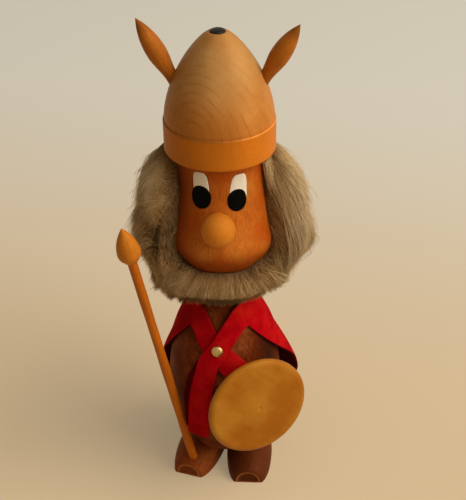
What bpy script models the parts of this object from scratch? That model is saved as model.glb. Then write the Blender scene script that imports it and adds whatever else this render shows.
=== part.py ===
"""Turned wooden viking figure with a felt cape, fur hair and beard, a spear and a shield.

Metres, +Z up. The figure stands on z = 0 and faces -Y, so its own left is +X.
A bearing is an angle in degrees about the body's axis, from straight ahead towards the figure's left.
"""

import math

import bmesh
import bpy
import numpy as np
from mathutils import Matrix, Vector

# Fits
GAP = 0.0003  # between neighbouring pieces, and round a peg in its hole

# Feet: turned spindles sawn flat along their length
FOOT_LENGTH = 0.034
FOOT_RADIUS = 0.0094
FOOT_TOE_RADIUS = 0.0052
FOOT_AXIS_HEIGHT = 0.0021
FOOT_SIDEWAYS = 0.0102
FOOT_FORWARD = 0.0015
FOOT_SPLAY = 8.0
FOOT_DOWEL_RADIUS = 0.0025
FOOT_DOWEL_DEPTH = 0.006
FOOT_FULLNESS = 0.6  # lower is blunter

# Body: radii of the turned barrel, and the rise from each of them to the next
BODY_BASE_RADIUS = 0.0140
BODY_HIP_RADIUS = 0.0189
BODY_BELLY_RADIUS = 0.0220
BODY_CHEST_RADIUS = 0.0176
BODY_SHOULDER_RADIUS = 0.0099
BODY_NECK_RADIUS = 0.0072
BODY_HIP_RISE = 0.0120
BODY_BELLY_RISE = 0.0245
BODY_CHEST_RISE = 0.0200
BODY_SHOULDER_RISE = 0.0170
BODY_NECK_RISE = 0.0143
NECK_DOWEL_RADIUS = 0.0040
NECK_DOWEL_DEPTH = 0.0140

# Head: radii of the turned block, and the rise from each of them to the next
HEAD_BEARING = 8.5
HEAD_CHIN_RADIUS = 0.0160
HEAD_JAW_RADIUS = 0.0205
HEAD_CHEEK_RADIUS = 0.0184
HEAD_EYE_RADIUS = 0.0162
HEAD_TOP_RADIUS = 0.0165
HEAD_JAW_RISE = 0.0090
HEAD_CHEEK_RISE = 0.0110
HEAD_EYE_RISE = 0.0125
HEAD_TOP_RISE = 0.0119
HELMET_DOWEL_RADIUS = 0.0040
HELMET_DOWEL_DEPTH = 0.0100

# Nose: a ball sawn flat at the back, on its own peg
NOSE_RADIUS = 0.0061
NOSE_FLAT_RADIUS = 0.0044
NOSE_HEIGHT = 0.0223
NOSE_PEG_RADIUS = 0.0020
NOSE_PEG_DEPTH = 0.0070

# Helmet: a rim band with a ledge at its top, and an egg-shaped dome
HELMET_RIM_RADIUS = 0.0200
HELMET_BAND_RADIUS = 0.0196
HELMET_BAND_HEIGHT = 0.0118
HELMET_LEDGE_DROP = 0.0004
HELMET_RIM_BEVEL = 0.0008
HELMET_DOME_HEIGHT = 0.0314
HELMET_TOP_RADIUS = 0.0035
HELMET_DOME_RISE = 1.7  # higher is steeper at the band
HELMET_DOME_FULLNESS = 0.8  # lower is blunter at the top
CROWN_PLUG_RADIUS = 0.0028
CROWN_PLUG_DEPTH = 0.0050
CROWN_PLUG_CROWN = 0.0011

# Horns: spindles in slanted holes
HORN_HEIGHT = 0.0265
HORN_LEFT_TILT = 31.5
HORN_RIGHT_TILT = 28.5
HORN_LEFT_LENGTH = 0.0227
HORN_RIGHT_LENGTH = 0.0244
HORN_RADIUS = 0.0035
HORN_BELLY = 0.43  # share of the length
HORN_TAPER = 2.2  # higher is fuller
HORN_TENON_RADIUS = 0.0022
HORN_TENON_DEPTH = 0.0080

# Fur: strips glued round the head, open at the face
FUR_BEARD_THICKNESS = 0.0075
FUR_LEFT_THICKNESS = 0.0123
FUR_RIGHT_THICKNESS = 0.0118
FUR_BACK_THICKNESS = 0.0130
FUR_THROAT_RADIUS = 0.0168
FUR_CHIN_RISE = 0.0015
FUR_BEARD_HANG = 0.0082
FUR_LEFT_HANG = 0.0054
FUR_RIGHT_HANG = 0.0096
FUR_BACK_HANG = 0.0085
FUR_FACE_LEFT = 69.0
FUR_FACE_RIGHT = 57.0
FUR_FACE_BLEND = 12.0
FUR_SEAM_BEARING = 105.0
FUR_BEARD_END = 8.0  # bearings between which its sizes change
FUR_SIDE_START = 82.0
FUR_SIDE_END = 100.0
FUR_BACK_START = 170.0
FUR_BEARD_SQUARENESS = 2.2  # higher keeps the full depth nearer to the edges
FUR_LEFT_HEM_SQUARENESS = 4.0
FUR_RIGHT_HEM_SQUARENESS = 6.0
FUR_BACK_HEM_SQUARENESS = 5.0
FUR_LEFT_TOP_SQUARENESS = 2.4
FUR_RIGHT_TOP_SQUARENESS = 5.0
FUR_BACK_TOP_SQUARENESS = 3.0
FUR_EDGE = 0.3  # higher is thinner at the edges
FUR_EDGE_SHARE = 0.02  # flat left along the edges, as a share of the fur's height

# Felt: the cape, its two ties and the second tail
FELT_THICKNESS = 0.0010
TIE_ROOT_WIDTH = 0.0086
TIE_TAPER_LENGTH = 0.0160
LEFT_TIE_WIDTH = 0.0082
RIGHT_TIE_WIDTH = 0.0096
UNDER_TAIL_WIDTH = 0.0080
TIE_LIFT_LENGTH = 0.0060
COLLAR_DROP = 0.0076
COLLAR_LEFT = 62.0
COLLAR_RIGHT = 26.0
CAPE_BACK_LENGTH = 0.0660
CAPE_CONE_RADIUS = 0.0045  # of the flare at the collar, inside the neck: there the felt lies on the body
CAPE_FLARE_LEFT = 0.545
CAPE_FLARE_RIGHT = 0.50
CAPE_FLARE_SHARE = 0.22  # of the way round to the back, over which the flare grows
CAPE_FLARE_LENGTH_LEFT = 0.0520  # below the collar, past which the felt hangs straight down
CAPE_FLARE_LENGTH_RIGHT = 0.0450
CAPE_FLARE_SOFTNESS = 6.0  # higher turns more sharply there
CAPE_CORNER_LEFT = 0.52  # share of the way from the back to the front edge at which a corner is cut
CAPE_CORNER_RIGHT = 0.625
CAPE_CORNER_RISE_LEFT = 0.38  # share of the height from the back's hem to the tie's root
CAPE_CORNER_RISE_RIGHT = 0.43
CAPE_FRONT_CURVE = 0.8  # lower is steeper above the corners
CAPE_HEM_CURVE = 6.0  # higher is steeper below the corners
CAPE_NECKLINE = 0.7  # share of the front edge above the tie's root

# Routes of the felt strips: bearing, and height above the tack
LEFT_TIE = (
    (48.0, 0.0112),
    (36.0, 0.0112),
    (23.0, 0.0082),
    (12.0, 0.0040),
    (4.3, 0.0),
    (-3.8, -0.0039),
    (-8.0, -0.0109),
    (-12.0, -0.0206),
    (-14.8, -0.0329),
    (-15.6, -0.0397),
)
RIGHT_TIE = (
    (-36.5, 0.0102),
    (-24.0, 0.0084),
    (-11.5, 0.0043),
    (2.0, -0.0005),
    (11.5, -0.0038),
    (25.0, -0.0086),
    (31.0, -0.0110),
)
UNDER_TAIL = (
    (-10.0, -0.0075),
    (-17.0, -0.0139),
    (-21.0, -0.0209),
    (-22.5, -0.0299),
    (-21.0, -0.0379),
)

# Brass tack at the crossing
TACK_BEARING = 4.3
TACK_HEIGHT = 0.0554
TACK_HEAD_RADIUS = 0.0022
TACK_HEAD_HEIGHT = 0.0012
TACK_SHANK_RADIUS = 0.00065
TACK_SHANK_DEPTH = 0.0080

# Shield: a turned disc on a peg
SHIELD_BEARING = 35.6
SHIELD_TILT = 5.2
SHIELD_STAND_OFF = 0.0081
SHIELD_PEG_HEIGHT = 0.0347
SHIELD_RADIUS = 0.0202
SHIELD_BACK = 0.0020
SHIELD_CROWN = 0.0026
SHIELD_FALL = 0.32  # share of the crown lost by the start of the rounded edge
SHIELD_EDGE = 0.0024
SHIELD_PEG_RADIUS = 0.0025
SHIELD_PEG_DEPTH = 0.0090
SHIELD_HOLE_DEPTH = 0.0025

# Spear: a dowel standing in the right foot, with a turned bud on its end
SPEAR_BEARING = -43.2
SPEAR_LEAN = 11.9
SPEAR_RADIUS = 0.00175
SPEAR_LENGTH = 0.1270
SPEAR_SOCKET_FORWARD = 0.0125
SPEAR_SOCKET_INWARD = 0.0016
SPEAR_SOCKET_FLOOR = 0.0028
SPEAR_HEAD_LENGTH = 0.0148
SPEAR_HEAD_RADIUS = 0.0040
SPEAR_HEAD_BASE_RADIUS = 0.0026
SPEAR_HEAD_BORE = 0.0060
SPEAR_HEAD_STATIONS = (0, 0.15, 0.43, 0.8, 1)  # shares of its length
SPEAR_HEAD_SWELL = (0, 0.72, 1, 0.55, 0)  # share of its full swell at each station

# Facets
TURNED_STEPS = 40
SMALL_STEPS = 18
ROD_SIDES = 16
TIE_LINES = 4
SHARP_ANGLE = 40.0
MERGE = 0.00001
SLOPE_STEP = 0.001

# Heights that follow from the sizes above
BODY_BASE_Z = FOOT_AXIS_HEIGHT + FOOT_RADIUS + GAP
BODY_RISES = (0, BODY_HIP_RISE, BODY_BELLY_RISE, BODY_CHEST_RISE, BODY_SHOULDER_RISE, BODY_NECK_RISE)
BODY_HEIGHTS = BODY_BASE_Z + np.cumsum(BODY_RISES)
BODY_RADII = np.array(
    (
        BODY_BASE_RADIUS,
        BODY_HIP_RADIUS,
        BODY_BELLY_RADIUS,
        BODY_CHEST_RADIUS,
        BODY_SHOULDER_RADIUS,
        BODY_NECK_RADIUS,
    )
)
BODY_BELLY_Z = BODY_HEIGHTS[2]
BODY_TOP_Z = BODY_HEIGHTS[-1]
HEAD_BASE_Z = BODY_TOP_Z + GAP
HEAD_HEIGHTS = np.cumsum((0, HEAD_JAW_RISE, HEAD_CHEEK_RISE, HEAD_EYE_RISE, HEAD_TOP_RISE))
HEAD_RADII = np.array(
    (HEAD_CHIN_RADIUS, HEAD_JAW_RADIUS, HEAD_CHEEK_RADIUS, HEAD_EYE_RADIUS, HEAD_TOP_RADIUS)
)
HEAD_TOP = HEAD_HEIGHTS[-1]
HELMET_BASE = HEAD_TOP + GAP
HELMET_TOP = HELMET_BAND_HEIGHT + HELMET_DOME_HEIGHT
TACK_Z = BODY_BASE_Z + TACK_HEIGHT
COLLAR_Z = BODY_TOP_Z - COLLAR_DROP
FELT_LAYER = FELT_THICKNESS + GAP
FUR_SEAM_GAP = math.degrees(GAP / 2 / FUR_THROAT_RADIUS)

# Finishes: colour, roughness and metallic value
FINISHES = {
    "oiled_teak": ("6a3014", 0.5, 0.0),
    "red_teak": ("8a4216", 0.5, 0.0),
    "waxed_beech": ("c08040", 0.45, 0.0),
    "birch_dowel": ("c9a877", 0.6, 0.0),
    "black_lacquer": ("1c150b", 0.35, 0.0),
    "brass": ("c9a050", 0.3, 1.0),
    "red_felt": ("a8121a", 0.95, 0.0),
    "grey_fur": ("8a7355", 0.9, 0.0),
}


def linear(channel):
    """One sRGB channel, 0 to 1, as linear light."""
    if channel <= 0.04045:
        return channel / 12.92
    return ((channel + 0.055) / 1.055) ** 2.4


def material(name, finish):
    colour, roughness, metallic = FINISHES[finish]
    made = bpy.data.materials.new(f"{name}_{finish}")
    made.use_nodes = True
    shader = made.node_tree.nodes["Principled BSDF"]
    channels = [linear(int(colour[i : i + 2], 16) / 255) for i in (0, 2, 4)]
    shader.inputs["Base Color"].default_value = (*channels, 1)
    shader.inputs["Roughness"].default_value = roughness
    shader.inputs["Metallic"].default_value = metallic
    return made


def collection(name):
    made = bpy.data.collections.new(name)
    bpy.context.scene.collection.children.link(made)
    return made


def clear_scene():
    for old in list(bpy.data.objects):
        bpy.data.objects.remove(old)


def pivot(name, parent, place):
    """Empty that carries a moving group, with its Z on the joint's axis."""
    empty = bpy.data.objects.new(name, None)
    FIGURE.objects.link(empty)
    empty.parent = parent
    empty.matrix_local = place
    return empty


def add(name, mesh, finish, parent, place):
    """Object for one piece, placed in its parent's frame."""
    piece = bpy.data.objects.new(name, mesh)
    FIGURE.objects.link(piece)
    mesh.materials.append(material(name, finish))
    piece.parent = parent
    piece.location = place.to_translation()
    piece.rotation_euler = place.to_euler()
    return piece


def facing(point, direction):
    """Frame at a point, with its Z along a direction."""
    turn = Vector(direction).to_track_quat("Z", "Y").to_matrix().to_4x4()
    return Matrix.Translation(point) @ turn


def outward(bearing, elevation=0.0):
    """Unit vector at a bearing, tipped up by an elevation."""
    turn, tip = math.radians(bearing), math.radians(elevation)
    return Vector((math.sin(turn) * math.cos(tip), -math.cos(turn) * math.cos(tip), math.sin(tip)))


def smoothstep(share):
    share = np.clip(share, 0, 1)
    return share * share * (3 - 2 * share)


def hermite(knots, values, at):
    """Smooth curve through values given at rising knots, read at the places asked for."""
    slopes = np.gradient(values, knots)
    span = np.clip(np.searchsorted(knots, at) - 1, 0, len(knots) - 2)
    step = knots[span + 1] - knots[span]
    t = np.clip((at - knots[span]) / step, 0, 1)
    first = (1 + 2 * t) * values[span] + t * step * slopes[span]
    second = (3 - 2 * t) * values[span + 1] - (1 - t) * step * slopes[span + 1]
    return (1 - t) ** 2 * first + t**2 * second


def square_to(radius_at, bearing, height):
    """Point on a turned surface at a bearing and height, and the direction square to the surface there."""
    slope = (radius_at(height - SLOPE_STEP) - radius_at(height + SLOPE_STEP)) / (2 * SLOPE_STEP)
    point = outward(bearing) * float(radius_at(height)) + Vector((0, 0, height))
    return point, outward(bearing, math.degrees(math.atan(slope)))


def body_radius(z):
    return hermite(BODY_HEIGHTS, BODY_RADII, z)


def head_radius(height):
    return hermite(HEAD_HEIGHTS, HEAD_RADII, height)


def turned(name, outline, finish, parent, place=Matrix(), steps=TURNED_STEPS):
    """Solid turned about its own Z from an outline of (radius, height), listed from the top down."""
    mesh = bpy.data.meshes.new(name)
    points = [(radius, 0, height) for radius, height in outline]
    mesh.from_pydata(points, [(i, i + 1) for i in range(len(points) - 1)], [])
    piece = add(name, mesh, finish, parent, place)
    screw = piece.modifiers.new("turning", "SCREW")
    screw.steps = screw.render_steps = steps
    screw.use_merge_vertices = True
    screw.merge_threshold = MERGE
    return piece


def rod_mesh(name, radius, length):
    """Closed cylinder that stands on its own origin."""
    mesh = bpy.data.meshes.new(name)
    form = bmesh.new()
    middle = Matrix.Translation((0, 0, length / 2))
    bmesh.ops.create_cone(
        form, cap_ends=True, segments=ROD_SIDES, radius1=radius, radius2=radius, depth=length, matrix=middle
    )
    form.to_mesh(mesh)
    form.free()
    mesh.shade_smooth()
    mesh.set_sharp_from_angle(angle=math.radians(SHARP_ANGLE))
    return mesh


def rod(name, radius, length, finish, parent, place):
    return add(name, rod_mesh(name, radius, length), finish, parent, place)


def cut(piece, mesh, parent, place):
    """Takes a hidden cutter out of a piece."""
    cutter = bpy.data.objects.new(mesh.name, mesh)
    CUTTERS.objects.link(cutter)
    cutter.parent = parent
    cutter.location = place.to_translation()
    cutter.rotation_euler = place.to_euler()
    cutter.hide_render = True
    cutter.display_type = "WIRE"
    boolean = piece.modifiers.new(mesh.name, "BOOLEAN")
    boolean.operation = "DIFFERENCE"
    boolean.object = cutter


def bore(piece, name, radius, length, parent, place):
    """Round hole with clearance for a rod of this radius."""
    cut(piece, rod_mesh(f"{piece.name}_{name}", radius + GAP, length), parent, place)


def rounded_solid(heights, radii):
    """Outline of a solid of revolution: flat top, side from the top down, flat bottom."""
    side = list(zip(radii[::-1], heights[::-1]))
    return [(0, heights[-1]), *side, (0, heights[0])]


def body():
    heights = np.concatenate(
        [np.linspace(low, high, 4)[:-1] for low, high in zip(BODY_HEIGHTS[:-1], BODY_HEIGHTS[1:])]
        + [[BODY_TOP_Z]]
    )
    return turned("body", rounded_solid(heights, body_radius(heights)), "oiled_teak", figure)


def foot_radius(along):
    """Radius of the foot's spindle at a distance from its middle."""
    share = np.clip(1 - (2 * along / FOOT_LENGTH) ** 2, 0, 1)
    return FOOT_TOE_RADIUS + (FOOT_RADIUS - FOOT_TOE_RADIUS) * share**FOOT_FULLNESS


def foot_place(side):
    """Frame of a foot: origin at its middle on the spindle's axis, Z towards the toe."""
    middle = Vector((side * FOOT_SIDEWAYS, -FOOT_FORWARD, FOOT_AXIS_HEIGHT))
    return facing(middle, outward(side * FOOT_SPLAY))


def foot(name, side):
    """Half spindle, with a dowel between it and the body."""
    bends = np.sin(np.linspace(-math.pi / 2, math.pi / 2, 13))
    along = bends * FOOT_LENGTH / 2
    made = turned(
        f"foot_{name}",
        rounded_solid(along, foot_radius(along)),
        "oiled_teak",
        figure,
        foot_place(side),
        SMALL_STEPS,
    )
    slab = bpy.data.meshes.new(f"foot_{name}_sole")
    form = bmesh.new()
    depth = 2 * FOOT_RADIUS
    scale = Matrix.Diagonal((2 * FOOT_LENGTH, 2 * FOOT_LENGTH, depth, 1))
    bmesh.ops.create_cube(form, size=1, matrix=Matrix.Translation((0, 0, -depth / 2)) @ scale)
    form.to_mesh(slab)
    form.free()
    middle = foot_place(side).to_translation()
    cut(made, slab, figure, Matrix.Translation((middle.x, middle.y, 0)))
    low = Matrix.Translation((middle.x, middle.y, BODY_BASE_Z - FOOT_DOWEL_DEPTH))
    length = 2 * FOOT_DOWEL_DEPTH
    rod(f"foot_dowel_{name}", FOOT_DOWEL_RADIUS, length, "birch_dowel", figure, low)
    hole = low @ Matrix.Translation((0, 0, -GAP))
    bore(made, "dowel_hole", FOOT_DOWEL_RADIUS, length + 2 * GAP, figure, hole)
    bore(torso, f"{name}_foot_hole", FOOT_DOWEL_RADIUS, length + 2 * GAP, figure, hole)
    return made


def neck():
    """Dowel glued into the body, on which the head turns."""
    low = Matrix.Translation((0, 0, BODY_TOP_Z - NECK_DOWEL_DEPTH))
    length = 2 * NECK_DOWEL_DEPTH
    rod("neck_dowel", NECK_DOWEL_RADIUS, length, "birch_dowel", figure, low)
    hole = low @ Matrix.Translation((0, 0, -GAP))
    bore(torso, "neck_hole", NECK_DOWEL_RADIUS, length + 2 * GAP, figure, hole)
    bore(head, "neck_hole", NECK_DOWEL_RADIUS, length + 2 * GAP, figure, hole)


def head_block():
    heights = np.concatenate(
        [np.linspace(low, high, 5)[:-1] for low, high in zip(HEAD_HEIGHTS[:-1], HEAD_HEIGHTS[1:])]
        + [[HEAD_TOP]]
    )
    return turned("head", rounded_solid(heights, head_radius(heights)), "red_teak", head_pivot)


def nose():
    """Ball with a flat back, its peg running into the face."""
    flat_angle = math.asin(NOSE_FLAT_RADIUS / NOSE_RADIUS)
    flat_back = NOSE_RADIUS * math.cos(flat_angle)
    angles = np.linspace(0, math.pi - flat_angle, 12)
    ball = [(NOSE_RADIUS * math.sin(a), flat_back + NOSE_RADIUS * math.cos(a)) for a in angles]
    peg = [(NOSE_PEG_RADIUS, 0), (NOSE_PEG_RADIUS, -NOSE_PEG_DEPTH), (0, -NOSE_PEG_DEPTH)]
    skin, out = square_to(head_radius, 0, NOSE_HEIGHT)
    place = facing(skin + out * GAP, out)
    turned("nose", ball + peg, "waxed_beech", head_pivot, place, SMALL_STEPS)
    hole = place @ Matrix.Translation((0, 0, -NOSE_PEG_DEPTH - GAP))
    bore(head, "nose_hole", NOSE_PEG_RADIUS, 2 * NOSE_PEG_DEPTH, head_pivot, hole)


def helmet_radius(height):
    """Radius of the helmet's dome at a height above its rim."""
    share = np.clip((height - HELMET_BAND_HEIGHT) / HELMET_DOME_HEIGHT, 0, 1)
    dome = (1 - share**HELMET_DOME_RISE) ** HELMET_DOME_FULLNESS
    return HELMET_TOP_RADIUS + (HELMET_BAND_RADIUS - HELMET_TOP_RADIUS) * dome


def helmet():
    """Rim band, its ledge and the dome, with the dowel below it and the plug on top."""
    dome = HELMET_BAND_HEIGHT + HELMET_DOME_HEIGHT * np.sin(np.linspace(0, math.pi / 2, 13))
    band = [
        (HELMET_BAND_RADIUS, HELMET_BAND_HEIGHT),
        (HELMET_RIM_RADIUS, HELMET_BAND_HEIGHT - HELMET_LEDGE_DROP),
        (HELMET_RIM_RADIUS, HELMET_RIM_BEVEL),
        (HELMET_RIM_RADIUS - HELMET_RIM_BEVEL, 0),
    ]
    side = [(float(helmet_radius(z)), z) for z in dome[:0:-1]]
    outline = [(0, HELMET_TOP), *side, *band, (0, 0)]
    made = turned("helmet", outline, "waxed_beech", helmet_seat)

    low = Matrix.Translation((0, 0, -HELMET_DOWEL_DEPTH))
    length = 2 * HELMET_DOWEL_DEPTH
    rod("helmet_dowel", HELMET_DOWEL_RADIUS, length, "birch_dowel", helmet_seat, low)
    hole = low @ Matrix.Translation((0, 0, -GAP))
    bore(made, "dowel_hole", HELMET_DOWEL_RADIUS, length + 2 * GAP, helmet_seat, hole)
    bore(head, "helmet_hole", HELMET_DOWEL_RADIUS, length + 2 * GAP, helmet_seat, hole)

    bend = np.linspace(0, math.pi / 2, 5)
    crown = [(CROWN_PLUG_RADIUS * math.sin(a), CROWN_PLUG_CROWN * math.cos(a)) for a in bend]
    shank = [(CROWN_PLUG_RADIUS, -CROWN_PLUG_DEPTH), (0, -CROWN_PLUG_DEPTH)]
    top = Matrix.Translation((0, 0, HELMET_TOP))
    turned("crown_plug", crown + shank, "black_lacquer", helmet_seat, top, SMALL_STEPS)
    hole = top @ Matrix.Translation((0, 0, -CROWN_PLUG_DEPTH - GAP))
    bore(made, "plug_hole", CROWN_PLUG_RADIUS, 2 * CROWN_PLUG_DEPTH, helmet_seat, hole)
    return made


def horn(name, side, tilt, length):
    """Pointed spindle whose straight tenon sits in the helmet."""
    belly = HORN_BELLY * length
    swell = np.linspace(0, belly, 6)
    taper = np.linspace(belly, length, 8)[1:-1]
    growth = (HORN_RADIUS - HORN_TENON_RADIUS) * smoothstep(swell / belly)
    lower = [(HORN_TENON_RADIUS + more, z) for more, z in zip(growth, swell)]
    fall = 1 - ((taper - belly) / (length - belly)) ** HORN_TAPER
    upper = [(HORN_RADIUS * share, z) for share, z in zip(fall, taper)]
    tenon = [(HORN_TENON_RADIUS, -HORN_TENON_DEPTH), (0, -HORN_TENON_DEPTH)]
    outline = [(0, length), *upper[::-1], *lower[::-1], *tenon]
    base = Vector((side * float(helmet_radius(HORN_HEIGHT)), 0, HORN_HEIGHT))
    place = facing(base, outward(side * 90, 90 - tilt))
    turned(f"horn_{name}", outline, "waxed_beech", helmet_seat, place, SMALL_STEPS)
    hole = place @ Matrix.Translation((0, 0, -HORN_TENON_DEPTH - GAP))
    bore(dome, f"{name}_horn_hole", HORN_TENON_RADIUS, 2 * HORN_TENON_DEPTH, helmet_seat, hole)


def round_the_head(bearing, beard, side, back):
    """Size that goes smoothly from its value at the chin to those at the sides and the back."""
    turn = 180 - np.abs(180 - np.abs(bearing))
    to_side = smoothstep((turn - FUR_BEARD_END) / (FUR_SIDE_START - FUR_BEARD_END))
    to_back = smoothstep((turn - FUR_SIDE_END) / (FUR_BACK_START - FUR_SIDE_END))
    return beard + (side - beard) * to_side + (back - side) * to_back


def by_side(bearing, left, right):
    """Value for the figure's left or right side at a bearing from the face."""
    return np.where(np.sin(np.radians(bearing)) > 0, left, right)


def fur_thickness(bearing):
    """Depth of the fur at a bearing from the face: thin under the chin, thickest at the sides."""
    side = by_side(bearing, FUR_LEFT_THICKNESS, FUR_RIGHT_THICKNESS)
    return round_the_head(bearing, FUR_BEARD_THICKNESS, side, FUR_BACK_THICKNESS)


def fur_hang(bearing):
    """Depth of the fur's hem below the head."""
    side = by_side(bearing, FUR_LEFT_HANG, FUR_RIGHT_HANG)
    return round_the_head(bearing, FUR_BEARD_HANG, side, FUR_BACK_HANG)


def fur_squareness(bearing, share):
    """How squarely the fur thins towards its hem, in its lower half, and its top, in its upper half."""
    hem = by_side(bearing, FUR_LEFT_HEM_SQUARENESS, FUR_RIGHT_HEM_SQUARENESS)
    hem = round_the_head(bearing, FUR_BEARD_SQUARENESS, hem, FUR_BACK_HEM_SQUARENESS)
    top = by_side(bearing, FUR_LEFT_TOP_SQUARENESS, FUR_RIGHT_TOP_SQUARENESS)
    top = round_the_head(bearing, FUR_BEARD_SQUARENESS, top, FUR_BACK_TOP_SQUARENESS)
    return np.where(share < 0.5, hem, top)


def fur_top(bearing):
    """Upper edge of the fur: under the chin in front, under the helmet's rim from the temples back."""
    edge = np.where(bearing > 0, FUR_FACE_LEFT, FUR_FACE_RIGHT)
    rise = smoothstep((np.abs(bearing) - edge) / FUR_FACE_BLEND / 2 + 0.5)
    return FUR_CHIN_RISE + (HEAD_TOP - GAP - FUR_CHIN_RISE) * rise


def fur_sections(bearings):
    """Closed sections of the fur, one at each bearing: inner wall from the top down, outer wall back up."""
    share = np.linspace(FUR_EDGE_SHARE, 1 - FUR_EDGE_SHARE, 19)
    square = fur_squareness(bearings[:, None], share)
    bulge = (1 - np.abs(2 * share - 1) ** square) ** (1 / square + FUR_EDGE)
    top = fur_top(bearings)[:, None]
    hang = fur_hang(bearings)[:, None]
    heights = -hang + (top + hang) * share
    throat = HEAD_CHIN_RADIUS + (FUR_THROAT_RADIUS - HEAD_CHIN_RADIUS) * -heights / hang
    inner = np.where(heights < 0, throat, head_radius(heights)) + GAP
    outer = inner + fur_thickness(bearings)[:, None] * bulge
    radii = np.concatenate([inner[:, ::-1], outer], axis=1)
    heights = np.concatenate([heights[:, ::-1], heights], axis=1)
    turn = np.radians(bearings)[:, None]
    return np.stack([radii * np.sin(turn), -radii * np.cos(turn), heights], axis=2)


def beard_bearings():
    """Bearings of the beard's sections, close together at the temples, where its edge climbs."""
    ear = FUR_SEAM_BEARING - FUR_SEAM_GAP
    right_temple = np.linspace(-FUR_FACE_RIGHT - FUR_FACE_BLEND, FUR_FACE_BLEND - FUR_FACE_RIGHT, 11)
    left_temple = np.linspace(FUR_FACE_LEFT - FUR_FACE_BLEND, FUR_FACE_LEFT + FUR_FACE_BLEND, 11)
    chin = np.linspace(right_temple[-1], left_temple[0], 13)[1:-1]
    right_side = np.linspace(-ear, right_temple[0], 5)[:-1]
    left_side = np.linspace(left_temple[-1], ear, 4)[1:]
    return np.concatenate([right_side, right_temple, chin, left_temple, left_side])


def fur(name, bearings):
    """Loft through the fur's sections at the bearings given."""
    rings = fur_sections(bearings)
    form = bmesh.new()
    loops = [[form.verts.new(point) for point in ring] for ring in rings]
    for near, far in zip(loops[:-1], loops[1:]):
        for i in range(len(near)):
            form.faces.new((near[i - 1], near[i], far[i], far[i - 1]))
    form.faces.new(loops[0])
    form.faces.new(loops[-1])
    bmesh.ops.recalc_face_normals(form, faces=form.faces)
    mesh = bpy.data.meshes.new(name)
    form.to_mesh(mesh)
    form.free()
    mesh.shade_smooth()
    return add(name, mesh, "grey_fur", head_pivot, Matrix())


def felt_point(bearing, z, lift):
    """Point on felt that lies on the body, or hangs straight down below its belly."""
    radius = body_radius(np.maximum(z, BODY_BELLY_Z)) + GAP + lift
    turn = np.radians(bearing)
    return np.stack([radius * np.sin(turn), -radius * np.cos(turn), z + 0 * radius], axis=-1)


def strip_lines(route, side, stations, root_width, end_width):
    """Bearings, heights and distances of a strip laid flat round the body along its route.

    The first line across starts at the neckline's edge for side 1 or -1, and is as wide as the root.
    """
    bearings, heights = np.array(route).T
    sideways = np.radians(bearings) * BODY_BELLY_RADIUS
    knots = np.concatenate([[0], np.cumsum(np.hypot(np.diff(sideways), np.diff(heights)))])
    along = np.linspace(0, knots[-1], stations)
    x = hermite(knots, sideways, along)
    z = hermite(knots, heights, along)
    dx, dz = np.gradient(x, along), np.gradient(z, along)
    length = np.hypot(dx, dz)
    width = root_width + (end_width - root_width) * smoothstep(along / TIE_TAPER_LENGTH)
    offset = np.linspace(0.5, -0.5, TIE_LINES) * width[:, None] * side
    x = x[:, None] + offset * (dz / length)[:, None]
    z = z[:, None] - offset * (dx / length)[:, None]
    return np.degrees(x / BODY_BELLY_RADIUS), TACK_Z + z, along


def tie(route, side, width, lifted):
    """Bearings, heights and points of a tie. A lifted one climbs over the other before they cross."""
    bearings, heights, along = strip_lines(route, side, 22, TIE_ROOT_WIDTH, width)
    lift = lifted * FELT_LAYER * smoothstep(along / TIE_LIFT_LENGTH)
    return bearings, heights, felt_point(bearings, heights, lift[:, None])


def front_edge(tie_bearings, tie_heights, collar_bearing, rows):
    """Front edge of the cape: from the collar down the neckline, then across the tie's root to its notch."""
    corner = len(rows) - len(tie_bearings[0])
    share = rows[: corner + 1] / rows[corner]
    neckline_bearing = collar_bearing + (tie_bearings[0][0] - collar_bearing) * share
    neckline_height = COLLAR_Z + (tie_heights[0][0] - COLLAR_Z) * share
    edge_bearing = np.concatenate([neckline_bearing, tie_bearings[0][1:]])
    return edge_bearing, np.concatenate([neckline_height, tie_heights[0][1:]])


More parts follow.
